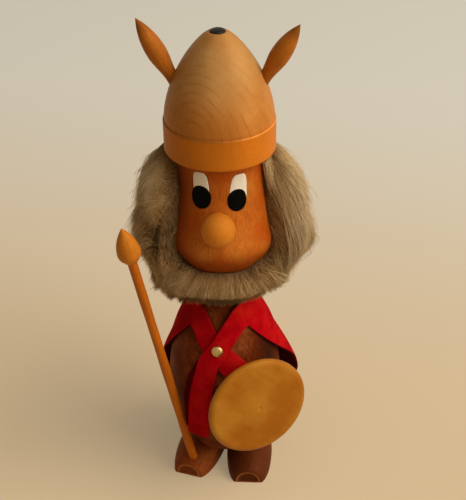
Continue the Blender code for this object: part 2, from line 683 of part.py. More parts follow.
def cape_points(left, right):
    """Grid of the cape: rows from collar to hem, columns from its left front edge round the back."""
    neckline = np.linspace(0, CAPE_NECKLINE, 5)[:-1]
    rows = np.concatenate([neckline, np.linspace(CAPE_NECKLINE, 1, TIE_LINES)])
    left_bearing, left_height = front_edge(left[0], left[1], COLLAR_LEFT, rows)
    right_bearing, right_height = front_edge(right[0], right[1], -COLLAR_RIGHT, rows)
    u = np.linspace(1, -1, 41)
    reach = np.abs(u)
    edge_bearing = np.where(u > 0, 180 - left_bearing[:, None], -180 - right_bearing[:, None])
    bearing = 180 - reach * edge_bearing
    back = COLLAR_Z - CAPE_BACK_LENGTH * rows[:, None]
    front = np.where(u > 0, left_height[:, None], right_height[:, None])
    corner = np.where(u > 0, CAPE_CORNER_LEFT, CAPE_CORNER_RIGHT)
    rise = np.where(u > 0, CAPE_CORNER_RISE_LEFT, CAPE_CORNER_RISE_RIGHT)
    hem = rise * np.minimum(reach / corner, 1) ** CAPE_HEM_CURVE
    cut_front = (1 - rise) * np.clip((reach - corner) / (1 - corner), 0, 1) ** CAPE_FRONT_CURVE
    z = back + (front - back) * (hem + cut_front)
    snug = body_radius(np.maximum(z, BODY_BELLY_Z)) + GAP
    flare = CAPE_FLARE_RIGHT + (CAPE_FLARE_LEFT - CAPE_FLARE_RIGHT) * (1 + u) / 2
    shorter = (CAPE_FLARE_LENGTH_LEFT - CAPE_FLARE_LENGTH_RIGHT) * np.clip(-u, 0, 1)
    length = CAPE_FLARE_LENGTH_LEFT - shorter
    drop = (COLLAR_Z - z) / length
    spread = drop / (1 + drop**CAPE_FLARE_SOFTNESS) ** (1 / CAPE_FLARE_SOFTNESS)
    cone = CAPE_CONE_RADIUS + flare * length * spread
    lift = smoothstep((1 - reach) / CAPE_FLARE_SHARE) * np.maximum(cone - snug, 0)
    return felt_point(bearing, z, lift)


def felt(name, grids):
    """One sheet of felt from grids of points that share their edges, given its thickness outwards."""
    form = bmesh.new()
    for grid in grids:
        verts = [[form.verts.new(point) for point in line] for line in grid]
        for near, far in zip(verts[:-1], verts[1:]):
            for i in range(len(near) - 1):
                form.faces.new((near[i], near[i + 1], far[i + 1], far[i]))
    bmesh.ops.remove_doubles(form, verts=form.verts, dist=MERGE)
    bmesh.ops.recalc_face_normals(form, faces=form.faces)
    form.normal_update()
    level = Vector((1, 1, 0))
    if sum(face.normal.dot(face.calc_center_median() * level) for face in form.faces) < 0:
        bmesh.ops.reverse_faces(form, faces=form.faces)
    mesh = bpy.data.meshes.new(name)
    form.to_mesh(mesh)
    form.free()
    mesh.shade_smooth()
    sheet = add(name, mesh, "red_felt", figure, Matrix())
    wall = sheet.modifiers.new("thickness", "SOLIDIFY")
    wall.thickness = FELT_THICKNESS
    wall.offset = 1
    return sheet


def cape():
    left = tie(LEFT_TIE, 1, LEFT_TIE_WIDTH, 1)
    right = tie(RIGHT_TIE, -1, RIGHT_TIE_WIDTH, 0)
    return felt("cape", [cape_points(left, right), left[2], right[2]])


def under_tail():
    bearings, heights, _ = strip_lines(UNDER_TAIL, 1, 14, UNDER_TAIL_WIDTH, UNDER_TAIL_WIDTH)
    return felt("under_tail", [felt_point(bearings, heights, 0.0)])


def tack():
    """Domed head over the two layers of felt, its shank driven square into the body."""
    skin, out = square_to(body_radius, TACK_BEARING, TACK_Z)
    place = facing(skin + out * (2 * FELT_LAYER + GAP), out)
    bend = np.linspace(0, math.pi / 2, 6)
    crown = [(TACK_HEAD_RADIUS * math.sin(a), TACK_HEAD_HEIGHT * math.cos(a)) for a in bend]
    shank_end = -TACK_SHANK_DEPTH
    shank = [(TACK_SHANK_RADIUS, 0), (TACK_SHANK_RADIUS, shank_end), (0, shank_end)]
    turned("brass_tack", crown + shank, "brass", figure, place, SMALL_STEPS)
    hole = place @ Matrix.Translation((0, 0, shank_end - GAP))
    for piece in (torso, cloak):
        bore(piece, "tack_hole", TACK_SHANK_RADIUS, 2 * TACK_SHANK_DEPTH, figure, hole)


def shield():
    """Domed disc that turns on a peg set square to it in the body."""
    out = outward(SHIELD_BEARING, SHIELD_TILT)
    peg_z = BODY_BASE_Z + SHIELD_PEG_HEIGHT
    skin = outward(SHIELD_BEARING) * float(body_radius(peg_z)) + Vector((0, 0, peg_z))
    shield_pivot = pivot("shield_pivot", figure, facing(skin + out * SHIELD_STAND_OFF, out))
    bend = np.linspace(0, math.pi / 2, 5)[1:]
    flat = SHIELD_RADIUS - SHIELD_EDGE
    crown = [(flat * s, SHIELD_CROWN * (1 - SHIELD_FALL * s**2)) for s in np.linspace(0, 1, 4)]
    edge = [(flat + SHIELD_EDGE * math.sin(a), crown[-1][1] * math.cos(a)) for a in bend]
    rim = [(flat + SHIELD_EDGE * math.cos(a), -SHIELD_BACK * math.sin(a)) for a in bend]
    made = turned("shield", [*crown, *edge, *rim, (0, -SHIELD_BACK)], "waxed_beech", shield_pivot)
    reach = SHIELD_STAND_OFF - SHIELD_BACK + SHIELD_HOLE_DEPTH
    low = facing(skin - out * SHIELD_PEG_DEPTH, out)
    rod("shield_peg", SHIELD_PEG_RADIUS, SHIELD_PEG_DEPTH + reach, "birch_dowel", figure, low)
    hole = low @ Matrix.Translation((0, 0, -GAP))
    length = SHIELD_PEG_DEPTH + reach + 2 * GAP
    for piece in (torso, made):
        bore(piece, "peg_hole", SHIELD_PEG_RADIUS, length, figure, hole)


def spear(right_foot):
    """Shaft standing in its socket, with a bored bud on the end."""
    up = outward(SPEAR_BEARING, 90 - SPEAR_LEAN)
    middle = foot_place(-1) @ Vector((0, 0, SPEAR_SOCKET_FORWARD)) + Vector((SPEAR_SOCKET_INWARD, 0, 0))
    floor = middle + up * ((SPEAR_SOCKET_FLOOR - middle.z) / up.z)
    spear_pivot = pivot("spear_pivot", figure, facing(floor + up * GAP, up))
    shaft = SPEAR_LENGTH - SPEAR_HEAD_LENGTH + SPEAR_HEAD_BORE
    rod("spear_shaft", SPEAR_RADIUS, shaft, "waxed_beech", spear_pivot, Matrix())
    knots = np.array(SPEAR_HEAD_STATIONS) * SPEAR_HEAD_LENGTH
    heights = np.linspace(0, SPEAR_HEAD_LENGTH, 11)
    base = SPEAR_HEAD_BASE_RADIUS * (1 - heights / SPEAR_HEAD_LENGTH)
    share = hermite(knots, np.array(SPEAR_HEAD_SWELL), heights)
    widest = SPEAR_HEAD_BASE_RADIUS * (1 - SPEAR_HEAD_STATIONS[np.argmax(SPEAR_HEAD_SWELL)])
    radii = base + (SPEAR_HEAD_RADIUS - widest) * share
    side = list(zip(radii, heights))[-2::-1]
    top = Matrix.Translation((0, 0, SPEAR_LENGTH - SPEAR_HEAD_LENGTH))
    outline = [(0, SPEAR_HEAD_LENGTH), *side, (0, 0)]
    bud = turned("spear_head", outline, "waxed_beech", spear_pivot, top, SMALL_STEPS)
    bore(bud, "shaft_hole", SPEAR_RADIUS, shaft + GAP, spear_pivot, Matrix())
    socket = facing(floor, up)
    bore(right_foot, "spear_socket", SPEAR_RADIUS, SPEAR_LENGTH - SPEAR_HEAD_LENGTH, figure, socket)


def centre_on_floor():
    """Moves the whole figure so that the middle of its footprint box is over the origin."""
    bpy.context.view_layer.update()
    graph = bpy.context.evaluated_depsgraph_get()
    corners = []
    for piece in FIGURE.objects:
        if piece.type == "MESH":
            placed = piece.evaluated_get(graph)
            mesh = placed.to_mesh()
            corners += [placed.matrix_world @ vertex.co for vertex in mesh.vertices]
            placed.to_mesh_clear()
    corners = np.array(corners)
    middle = (corners.min(axis=0) + corners.max(axis=0)) / 2
    figure.location = (-middle[0], -middle[1], 0)
    bpy.context.view_layer.update()


clear_scene()
FIGURE = collection("viking_figure")
CUTTERS = collection("cutters")
figure = pivot("figure", None, Matrix())
torso = body()
head_place = Matrix.Translation((0, 0, HEAD_BASE_Z)) @ Matrix.Rotation(math.radians(HEAD_BEARING), 4, "Z")
head_pivot = pivot("head_pivot", figure, head_place)
head = head_block()
neck()
foot("left", 1)
spear(foot("right", -1))
nose()
helmet_seat = pivot("helmet_seat", head_pivot, Matrix.Translation((0, 0, HELMET_BASE)))
dome = helmet()
horn("left", 1, HORN_LEFT_TILT, HORN_LEFT_LENGTH)
horn("right", -1, HORN_RIGHT_TILT, HORN_RIGHT_LENGTH)
fur("beard", beard_bearings())
fur("hair", np.linspace(FUR_SEAM_BEARING + FUR_SEAM_GAP, 360 - FUR_SEAM_BEARING - FUR_SEAM_GAP, 17))
cloak = cape()
under_tail()
tack()
shield()
centre_on_floor()
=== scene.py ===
# %% [markdown]
# # A turned wooden viking in a felt cape
#
# The object is a shelf ornament: pieces turned on a lathe, a cape cut from red felt, strips of long-haired
# fur and one brass tack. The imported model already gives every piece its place, so this lesson only dresses
# it. Each piece is a surface worked out with numpy, and each finish is made of shader nodes.

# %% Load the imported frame
import math

import bpy
import numpy as np
from mathutils import Euler, Matrix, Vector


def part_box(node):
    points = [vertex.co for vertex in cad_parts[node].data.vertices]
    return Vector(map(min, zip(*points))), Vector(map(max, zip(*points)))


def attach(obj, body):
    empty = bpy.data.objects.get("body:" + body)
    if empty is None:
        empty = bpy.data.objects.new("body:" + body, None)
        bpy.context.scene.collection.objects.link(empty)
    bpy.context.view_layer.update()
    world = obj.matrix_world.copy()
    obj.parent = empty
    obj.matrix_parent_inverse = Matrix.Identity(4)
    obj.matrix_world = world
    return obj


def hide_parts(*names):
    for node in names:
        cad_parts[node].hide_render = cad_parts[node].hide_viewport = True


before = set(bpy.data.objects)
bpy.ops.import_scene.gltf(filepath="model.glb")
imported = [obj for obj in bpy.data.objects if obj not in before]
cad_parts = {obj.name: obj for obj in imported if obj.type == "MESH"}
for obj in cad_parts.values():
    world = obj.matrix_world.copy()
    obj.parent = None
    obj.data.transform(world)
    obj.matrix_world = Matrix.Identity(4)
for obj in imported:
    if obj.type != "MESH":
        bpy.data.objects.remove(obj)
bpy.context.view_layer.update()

# %% [markdown]
# ## The camera
#
# The camera looks down on the figure from a little to its own left, close enough that the helmet looms. Its
# place and lens were found by fitting the turned rims, which are circles, to the ellipses in the picture.
# Everything is measured from the body's axis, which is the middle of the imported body's box.

# %% Camera
MM = 0.001  # sizes below are in millimetres
UP = np.array([0.0, 0.0, 1.0])
body_low, body_high = (np.array(corner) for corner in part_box("body"))
AXIS = np.array([*(body_low + body_high)[:2] / 2, 0.0])
IMAGE_HEIGHT, FOCAL_PIXELS = 500, 1116
CAMERA_DISTANCE, CAMERA_HEIGHT, CLIP_START = 355.4, 328.2, 10.0
CAMERA_AZIMUTH, CAMERA_PITCH, CAMERA_TURN, CAMERA_ROLL = np.radians([12.0, 32.65, 0.65, -0.9])


def outward(bearing, elevation=0.0):
    """Unit vector at a bearing, in degrees from straight ahead to the figure's left, and an elevation."""
    turn, tip = np.radians(bearing), np.radians(elevation)
    return np.array([np.sin(turn) * np.cos(tip), -np.cos(turn) * np.cos(tip), np.sin(tip)])


def add_object(name, data):
    """Puts a new object with this mesh, lamp or camera into the scene."""
    made = bpy.data.objects.new(name, data)
    bpy.context.scene.collection.objects.link(made)
    return made


heading = CAMERA_TURN - CAMERA_AZIMUTH
run, fall = math.cos(CAMERA_PITCH), math.sin(CAMERA_PITCH)
ahead = np.array([math.sin(heading) * run, math.cos(heading) * run, -fall])
level = np.cross(ahead, UP)
level /= np.linalg.norm(level)
upright = np.cross(level, ahead)
right = level * math.cos(CAMERA_ROLL) + upright * math.sin(CAMERA_ROLL)
above = upright * math.cos(CAMERA_ROLL) - level * math.sin(CAMERA_ROLL)
stand = outward(math.degrees(CAMERA_AZIMUTH)) * CAMERA_DISTANCE + UP * CAMERA_HEIGHT
pose = np.eye(4)
pose[:3] = np.column_stack([right, above, -ahead, AXIS + stand * MM])
camera = add_object("camera", bpy.data.cameras.new("camera"))
camera.matrix_world = Matrix(pose.tolist())
camera.data.sensor_fit = "VERTICAL"
camera.data.angle = 2 * math.atan(IMAGE_HEIGHT / 2 / FOCAL_PIXELS)
camera.data.clip_start = CLIP_START * MM
bpy.context.scene.camera = camera
print("camera at", np.round(AXIS + stand * MM, 3).tolist())

# %% [markdown]
# ## Finishes
#
# A material is a small graph of nodes. One helper adds a node and another sets its inputs, given by name or
# as a list in the node's own order: a value is stored, and a node is linked. Colours are written as sRGB
# hex, as a painter would read them off a chart, and turned to linear light.


# %% Helpers for colours, nodes and materials
def linear(colour):
    """sRGB hex as linear RGBA: each channel is ((c + 0.055) / 1.055) ^ 2.4, or c / 12.92 near black."""
    channels = np.array([int(colour[i : i + 2], 16) / 255 for i in (0, 2, 4)])
    low, high = channels / 12.92, ((channels + 0.055) / 1.055) ** 2.4
    return (*np.where(channels <= 0.04045, low, high).tolist(), 1.0)


def wire(tree, made, inputs):
    """Sets inputs by name or in order: stores values, links sockets and the first live output of nodes."""
    for socket, value in inputs.items() if isinstance(inputs, dict) else enumerate(inputs):
        if isinstance(value, bpy.types.Node):
            value = next(output for output in value.outputs if output.enabled)
        if isinstance(value, bpy.types.NodeSocket):
            tree.links.new(value, made.inputs[socket])
        else:
            made.inputs[socket].default_value = value


def node(tree, kind, inputs=(), stops=(), **settings):
    """Adds a shader node: settings are its properties, stops a ramp's places with their colours or greys."""
    made = tree.nodes.new("ShaderNode" + kind)
    for key, value in settings.items():
        setattr(made, key, value)
    wire(tree, made, inputs)
    ramp = made.color_ramp.elements if stops else []
    while len(ramp) < len(stops):
        ramp.new(0.5)
    for element, (place, colour) in zip(ramp, stops):
        element.position = place
        element.color = linear(colour) if isinstance(colour, str) else (colour, colour, colour, 1)
    return made


def finish(name, **values):
    """New material whose Principled shader has these plain values; returns it with its tree and shader."""
    made = bpy.data.materials.new(name)
    made.use_nodes = True
    shader = made.node_tree.nodes["Principled BSDF"]
    wire(made.node_tree, shader, {socket.replace("_", " "): value for socket, value in values.items()})
    return made, made.node_tree, shader


# %% [markdown]
# ## Floor and light
#
# The figure stands on a pale cloth under a soft ceiling light, with a warm lamp at the viewer's right. The
# broad light overhead keeps the floor pale all round, the lamp lights the cheek on its side, and a weak
# even sky leaves the other one in soft shade. The cloth throws back less light than it shows: a weak glow
# that only the camera sees lifts it towards white, further off more than near, and leaves the light on the
# figure as it is.

# %% Floor
FLOOR_REACH, CLOTH_FADE = 2.0, 0.4  # metres
SEEN_CLOTH, CLOTH_GLOW = 0.55, 0.25


def seen(tree):
    """1 on rays that the camera sees, straight or in a mirror or glass, and 0 on rays that carry light."""
    ray = node(tree, "LightPath").outputs
    plain = node(tree, "Math", [ray["Is Camera Ray"], ray["Is Glossy Ray"]], operation="MAXIMUM")
    return node(tree, "Math", [plain, ray["Is Transmission Ray"]], operation="MAXIMUM")


floor_mesh = bpy.data.meshes.new("floor")
corners = [(x * FLOOR_REACH, y * FLOOR_REACH, 0) for x, y in ((-1, -1), (1, -1), (1, 1), (-1, 1))]
floor_mesh.from_pydata(corners, [], [(0, 1, 2, 3)])
floor = add_object("floor", floor_mesh)
pale_cloth, tree, shader = finish("pale_backdrop_matt", Roughness=1.0, Specular_IOR_Level=0.1)
shown = seen(tree)
spot = node(tree, "SeparateXYZ", [node(tree, "TexCoord").outputs["Object"]])
far = node(tree, "MapRange", [spot.outputs["Y"], 0.0, CLOTH_FADE], interpolation_type="SMOOTHSTEP")
cloth = node(tree, "Mix", {"Factor": far, "A": linear("fbe3bb"), "B": linear("fffdf0")}, data_type="RGBA")
half = node(tree, "VectorMath", {0: cloth, "Scale": SEEN_CLOTH}, operation="SCALE")
shade = node(tree, "Mix", {"Factor": shown, "A": linear("d0bea0"), "B": half}, data_type="RGBA")
glow = node(tree, "Math", [shown, CLOTH_GLOW], operation="MULTIPLY")
wire(tree, shader, {"Base Color": shade, "Emission Color": cloth, "Emission Strength": glow})
floor_mesh.materials.append(pale_cloth)
print(f"floor: {2 * FLOOR_REACH} m square")

# %% Lamps and sky
CHEST_HEIGHT = 100.0
SKY_LIGHT, SKY_SHOWN = 0.18, 0.6


def lamp(name, bearing, elevation, distance, size, power, colour):
    """Square area lamp, in millimetres and watts, aimed at the figure's chest."""
    data = bpy.data.lights.new(name, "AREA")
    data.size, data.energy, data.color = size * MM, power, linear(colour)[:3]
    lit = add_object(name, data)
    lit.location = AXIS + (outward(bearing, elevation) * distance + UP * CHEST_HEIGHT) * MM
    lit.rotation_euler = Euler((math.radians(90 - elevation), 0, math.radians(bearing)))
    print(f"{name}: {power} W")


lamp("key_lamp", bearing=78, elevation=38, distance=2200, size=2000, power=48, colour="fff0dc")
lamp("ceiling_lamp", bearing=60, elevation=76, distance=2200, size=1900, power=9, colour="fff2e2")
world = bpy.data.worlds.new("sky")
bpy.context.scene.world = world
world.use_nodes = True
tree = world.node_tree
shown = seen(tree)
tone = node(tree, "Mix", {"Factor": shown, "A": linear("ecd6b4"), "B": linear("fff6e2")}, data_type="RGBA")
strength = node(tree, "MapRange", [shown, 0, 1, SKY_LIGHT, SKY_SHOWN])
wire(tree, tree.nodes["Background"], {"Color": tone, "Strength": strength})
bpy.context.scene.view_settings.view_transform = "Standard"

# %% [markdown]
# ## Wood
#
# Every turned piece shows the same three things at three sizes: growth rings cut by the lathe into arcs and
# stripes, long fibres along the grain, and fine pores. Rings are the distance from the pith, the line at
# the tree's heart, cut into steps, so the arcs on the dome and the stripes on the band come from one
# formula.

# %% A wood finish with its pith and grain
WANDER, WANDER_SIZE, BREAK_SIZE, PITH_TAPER = 2.2, 14.0, 7.0, 0.04
FIBRE_SIZE, PORE_SIZE = np.array([0.5, 0.5, 11.0]), np.array([0.3, 0.3, 2.5])  # across, across and along
YEAR = [(0.0, 0.1), (0.55, 0.0), (0.83, 0.25), (0.91, 1.0), (1.0, 0.1)]  # late wood through a year's growth
NOISE_LOW, NOISE_HIGH = 0.3, 0.7  # nearly all of a noise lies between these
STAIN_FADE, STAIN_ABOVE, STAIN_HIDES = 20.0, 0.6, 0.7
GRAIN_RELIEF = 0.08


def frame_of(direction):
    """Three unit columns, the last along a direction and the first level, as a turned piece's own frame."""
    z = direction / np.linalg.norm(direction)
    side = np.cross(UP, z) if abs(z[2]) < 0.999 else np.array([1.0, 0, 0])
    x = side / np.linalg.norm(side)
    return np.column_stack([x, np.cross(z, x), z])


def wood(
    name, pale, late, pore, grain=(0, 0, 1), pith=(40, 30, 0), ring=2.6, lines=0.5, spread=1000, streak=0.4,
    pored=0.5, mottle=0.1, patch=22, faded_and_lit=None, stain=None, satin=0.5, gloss=0.3,
):
    """Turned and waxed wood: pale early wood, darker late wood in rings, dark pores along the grain.

    Sizes are in mm. grain is its direction, pith a point on the tree's heart line from the body's axis on the
    floor, ring the width of a year's growth, lines the share of the late colour, and spread how far from the
    pith the rings still show. streak is the strength of the fibres, pored of the pores and mottle of broad
    patches of the size patch, which have paled to the faded colour. stain is a second pale colour and the
    height below which it was wiped on; above, it fades out. A piece's attribute of marks and painted light
    makes places paler and nearer the faded colour, or darker: the wood's own marks, and painted light and
    shade. The wax is amber, so what it mirrors is weak and warm.
    """
    made, tree, shader = finish(name, IOR=1.5, Specular_IOR_Level=gloss, Specular_Tint=linear("ffc890"))
    turn = frame_of(np.array(grain, float)).T
    shift = -turn @ (AXIS / MM + np.array(pith, float)) * MM
    place = node(tree, "TexCoord").outputs["Object"]
    lie = {"Vector": place, "Location": shift, "Rotation": Matrix(turn.tolist()).to_euler()}
    heart = node(tree, "Mapping", lie)

    wander = node(tree, "TexNoise", {"Vector": heart, "Scale": 1 / (WANDER_SIZE * MM), "Detail": 3.0})
    flat = node(tree, "VectorMath", [heart, (1, 1, PITH_TAPER)], operation="MULTIPLY")
    distance = node(tree, "VectorMath", [flat], operation="LENGTH")
    bent = node(tree, "Math", [wander, WANDER * MM, distance], operation="MULTIPLY_ADD")
    years = node(tree, "Math", [bent, 1 / (ring * MM)], operation="MULTIPLY")
    growth = node(tree, "ValToRGB", [node(tree, "Math", [years], operation="FRACT")], stops=YEAR)
    gaps = {"Vector": heart, "Scale": 1 / (BREAK_SIZE * MM), "Detail": 3.0, "Roughness": 0.7}
    drawn = node(tree, "MapRange", [node(tree, "TexNoise", gaps), 0.4, 0.62, 0.15 * lines, lines])
    near_pith = node(tree, "MapRange", [bent, 0.4 * spread * MM, spread * MM, 1.0, 0.1])
    late_share = node(tree, "Math", [growth, drawn], operation="MULTIPLY")
    late_share = node(tree, "Math", [late_share, near_pith], operation="MULTIPLY")

    along = node(tree, "Mapping", {"Vector": heart, "Scale": 1 / (FIBRE_SIZE * MM)})
    fibre = node(tree, "TexNoise", {"Vector": along, "Scale": 1.0, "Detail": 4.0, "Roughness": 0.65})
    thin = node(tree, "Mapping", {"Vector": heart, "Scale": 1 / (PORE_SIZE * MM)})
    vessel = node(tree, "TexNoise", {"Vector": thin, "Scale": 1.0, "Detail": 1.0})
    pores = node(tree, "ValToRGB", [vessel], stops=[(0.3, 1.0), (0.4, 0.0)])
    pore_share = node(tree, "Math", [pores, pored], operation="MULTIPLY")
    cloud = node(tree, "TexNoise", {"Vector": heart, "Scale": 1 / (patch * MM), "Detail": 3.0})

    paleness = node(tree, "Attribute", attribute_name="wear_and_painted_light").outputs["Fac"]
    fade_and_painted_light = node(tree, "Math", [paleness, 0.6, cloud], operation="MULTIPLY_ADD")
    faded_and_lit_share = node(tree, "MapRange", [fade_and_painted_light, 0.4, 0.75])
    tones = {"Factor": faded_and_lit_share, "A": linear(pale), "B": linear(faded_and_lit or pale)}
    early = node(tree, "Mix", tones, data_type="RGBA")
    if stain:
        dye, edge = stain
        height = node(tree, "SeparateXYZ", [place]).outputs["Z"]
        below = node(tree, "Math", [height, edge * MM], operation="LESS_THAN")
        fade = node(tree, "MapRange", [height, edge * MM, (edge + STAIN_FADE) * MM, STAIN_ABOVE, 0.0])
        share = node(tree, "Math", [below, fade], operation="MAXIMUM")
        bare = node(tree, "Math", [below, -STAIN_HIDES, 1.0], operation="MULTIPLY_ADD")
        late_share = node(tree, "Math", [late_share, bare], operation="MULTIPLY")
        early = node(tree, "Mix", {"Factor": share, "A": early, "B": linear(dye)}, data_type="RGBA")
    rings = node(tree, "Mix", {"Factor": late_share, "A": early, "B": linear(late)}, data_type="RGBA")
    fibre_tone = node(tree, "MapRange", [fibre, NOISE_LOW, NOISE_HIGH, 1 - streak, 1 + streak])
    cloud_tone = node(tree, "MapRange", [cloud, NOISE_LOW, NOISE_HIGH, 1 - mottle, 1 + mottle])
    tone = node(tree, "Math", [fibre_tone, cloud_tone], operation="MULTIPLY")
    tone = node(tree, "Math", [tone, node(tree, "Math", [paleness, 1.0], operation="ADD")], operation="MULTIPLY")
    toned = node(tree, "VectorMath", {0: rings, "Scale": tone}, operation="SCALE")
    colour = node(tree, "Mix", {"Factor": pore_share, "A": toned, "B": linear(pore)}, data_type="RGBA")
    dull = node(tree, "MapRange", [fibre, NOISE_LOW, NOISE_HIGH, satin - 0.07, satin + 0.1])
    relief = node(tree, "Math", [fibre, pore_share], operation="SUBTRACT")
    bump = node(tree, "Bump", {"Height": relief, "Strength": 0.25, "Distance": GRAIN_RELIEF * MM})
    wire(tree, shader, {"Base Color": colour, "Roughness": dull, "Normal": bump})
    return made


# %% [markdown]
# ## Turned pieces
#
# A lathe makes surfaces of revolution: a profile of radius and height, carried round an axis. The packed
# solids have flat facets, which show as soon as light skims over them, so each turned piece is worked out
# again on a fine grid from the same sizes. Small rounded corners catch the light as sanded edges do.


# %% Mesh and dress
def grid_quads(rows, columns, wrap=False):
    """Corner numbers of a grid's cells, the last column joined to the first if wrap is set."""
    i = np.arange(rows - 1)[:, None] * columns
    j = np.arange(columns if wrap else columns - 1)[None, :]
    k = (j + 1) % columns
    return np.stack([i + j, i + k, i + columns + k, i + columns + j], axis=-1).reshape(-1, 4)


def put(name, points, quads, tris=(), crease=None):
    """Object at the origin from places in metres and faces' corner numbers, shaded smooth up to a crease."""
    mesh = bpy.data.meshes.new(name)
    quads = np.asarray(quads, np.int32).reshape(-1, 4)
    tris = np.asarray(tris, np.int32).reshape(-1, 3)
    starts = np.concatenate([np.arange(len(quads)) * 4, len(quads) * 4 + np.arange(len(tris)) * 3])
    mesh.vertices.add(len(points))
    mesh.vertices.foreach_set("co", np.asarray(points, np.float32).ravel())
    mesh.loops.add(quads.size + tris.size)
    mesh.loops.foreach_set("vertex_index", np.concatenate([quads.ravel(), tris.ravel()]))
    mesh.polygons.add(len(starts))
    mesh.polygons.foreach_set("loop_start", starts.astype(np.int32))
    mesh.update(calc_edges=True)
    mesh.shade_smooth()
    if crease:
        mesh.set_sharp_from_angle(angle=math.radians(crease))
    print(f"{name}: {len(points)} points, {2 * len(quads) + len(tris)} triangles")
    return add_object(name, mesh)


def dress(piece, material, body, slot, *nodes):
    """Gives a piece its finish, the body it moves with and the solids it stands for; slot is not used."""
    piece.data.materials.append(material)
    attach(piece, body)
    if nodes:
        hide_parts(*nodes)


def placed(points, place):
    """Points in mm in a piece's own frame as places in metres: turned by the frame's columns, then moved."""
    columns, origin = place
    return points @ columns.T * MM + origin


def wear_and_painted_light(piece, amounts):
    """Stores how much paler (above 0) or darker (below 0) each vertex is: its marks and painted shading."""
    stored = piece.data.attributes.new("wear_and_painted_light", "FLOAT", "POINT")
    stored.data.foreach_set("value", np.asarray(amounts, np.float32))


# %% Lathe
def closed_rings(rings, low, high):
    """Vertices and faces of rings stacked from low to high, each end closed by a fan to a middle point."""
    rows, columns = rings.shape[:2]
    points = np.concatenate([[low], rings.reshape(-1, 3), [high]])
    j = np.arange(columns)
    k = (j + 1) % columns
    last = 1 + (rows - 1) * columns
    low_fan = np.stack([0 * j, 1 + k, 1 + j], 1)
    high_fan = np.stack([0 * j + last + columns, last + j, last + k], 1)
    return points, 1 + grid_quads(rows, columns, wrap=True), np.concatenate([low_fan, high_fan])


def turned(name, profile, place, around=96, paleness=None):
    """Surface of revolution: radius and height, listed upwards from axis to axis and swept round it.

    The last argument is how much paler or darker each point of the profile is, all round or at each step
    round the axis: the wood's own marks, and painted light and shade.
    """
    radius, height = np.array(profile, float).T
    angle = np.linspace(0, 2 * math.pi, around, endpoint=False)
    r, h = radius[1:-1, None], height[1:-1, None]
    rings = np.stack([r * np.cos(angle), r * np.sin(angle), h + 0 * angle], axis=-1)
    points, quads, fans = closed_rings(rings, [0, 0, height[0]], [0, 0, height[-1]])
    piece = put(name, placed(points, place), quads, fans, crease=40)
    if paleness is not None:
        ringed = np.broadcast_to(np.reshape(paleness, (len(profile), -1)), (len(profile), around))
        wear_and_painted_light(piece, np.concatenate([ringed[0, :1], ringed[1:-1].ravel(), ringed[-1, :1]]))
    return piece


def wrapped(bearing):
    """The same bearing between -180 and 180 degrees."""
    return (bearing + 180) % 360 - 180


def bearings_round(around):
    """Bearing of each step round an upright turned piece."""
    return wrapped(np.degrees(np.linspace(0, 2 * math.pi, around, endpoint=False)) + 90)


def smoothstep(share):
    """Share held between 0 and 1 and eased at both ends: 3 s ^ 2 - 2 s ^ 3."""
    share = np.clip(share, 0, 1)
    return share * share * (3 - 2 * share)


def hermite(knots, values, at):
    """Smooth curve through values at rising knots: cubic pieces with the mean slopes at their ends."""
    knots, values, at = np.asarray(knots, float), np.asarray(values, float), np.asarray(at, float)
    slopes = np.gradient(values, knots)
    span = np.clip(np.searchsorted(knots, at) - 1, 0, len(knots) - 2)
    step = knots[span + 1] - knots[span]
    t = np.clip((at - knots[span]) / step, 0, 1)
    first = (1 + 2 * t) * values[span] + t * step * slopes[span]
    second = (3 - 2 * t) * values[span + 1] - (1 - t) * step * slopes[span + 1]
    return (1 - t) ** 2 * first + t**2 * second


def arc(centre, size, start, end, steps=6):
    """Profile points on an ellipse with this half width and height, between angles from its lowest point."""
    angle = np.radians(np.linspace(start, end, steps))
    return list(zip(centre[0] + size[0] * np.sin(angle), centre[1] - size[1] * np.cos(angle)))


def sanded(profile, low, high):
    """Profile from bottom to top with flat ends, its first and last corners rounded by these radii."""
    (r0, h0), (r1, h1) = profile[0], profile[-1]
    bottom = arc((r0 - low, h0 + low), (low, low), 0, 90)
    top = arc((r1 - high, h1 - high), (high, high), 90, 180)
    inside = [(r, h) for r, h in profile if h0 + low < h < h1 - high]
    return [(0, h0), *bottom, *inside, *top, (0, h1)]


def round_axis(radius, bearing, height):
    """Points at a radius from an upright axis, turned to a bearing, at a height."""
    turn = np.radians(bearing)
    return np.stack([radius * np.sin(turn), -radius * np.cos(turn), height + 0 * radius], axis=-1)


def soft_spot(turn, height, bearing, width, middle, reach):
    """Round patch that fades out: e ^ (-((turn - bearing) / width) ^ 2 - ((height - middle) / reach) ^ 2)."""
    return np.exp(-(((turn - bearing) / width) ** 2) - ((height - middle) / reach) ** 2)


# %% [markdown]
# ## The body
#
# The barrel is dark oiled wood with a long straight grain. Its profile is a smooth curve through six radii.
# The lathe leaves the grain standing upright, so the fibres run up and down and the pith lies behind the
# surface. Below the cape's hem on the lamp's side a painted shadow darkens the wood, and a painted
# highlight lightens it beside the tack.

# %% Body
GAP = 0.3  # between neighbouring pieces
BODY_Z = np.array([11.8, 23.8, 48.3, 68.3, 85.3, 99.6])
BODY_R = np.array([14.0, 18.9, 22.0, 17.6, 9.9, 7.2])
UPRIGHT, BODY_AROUND = np.eye(3), 128


def body_radius(z):
    """Radius of the barrel at a height over the floor."""
    return hermite(BODY_Z, BODY_R, z)


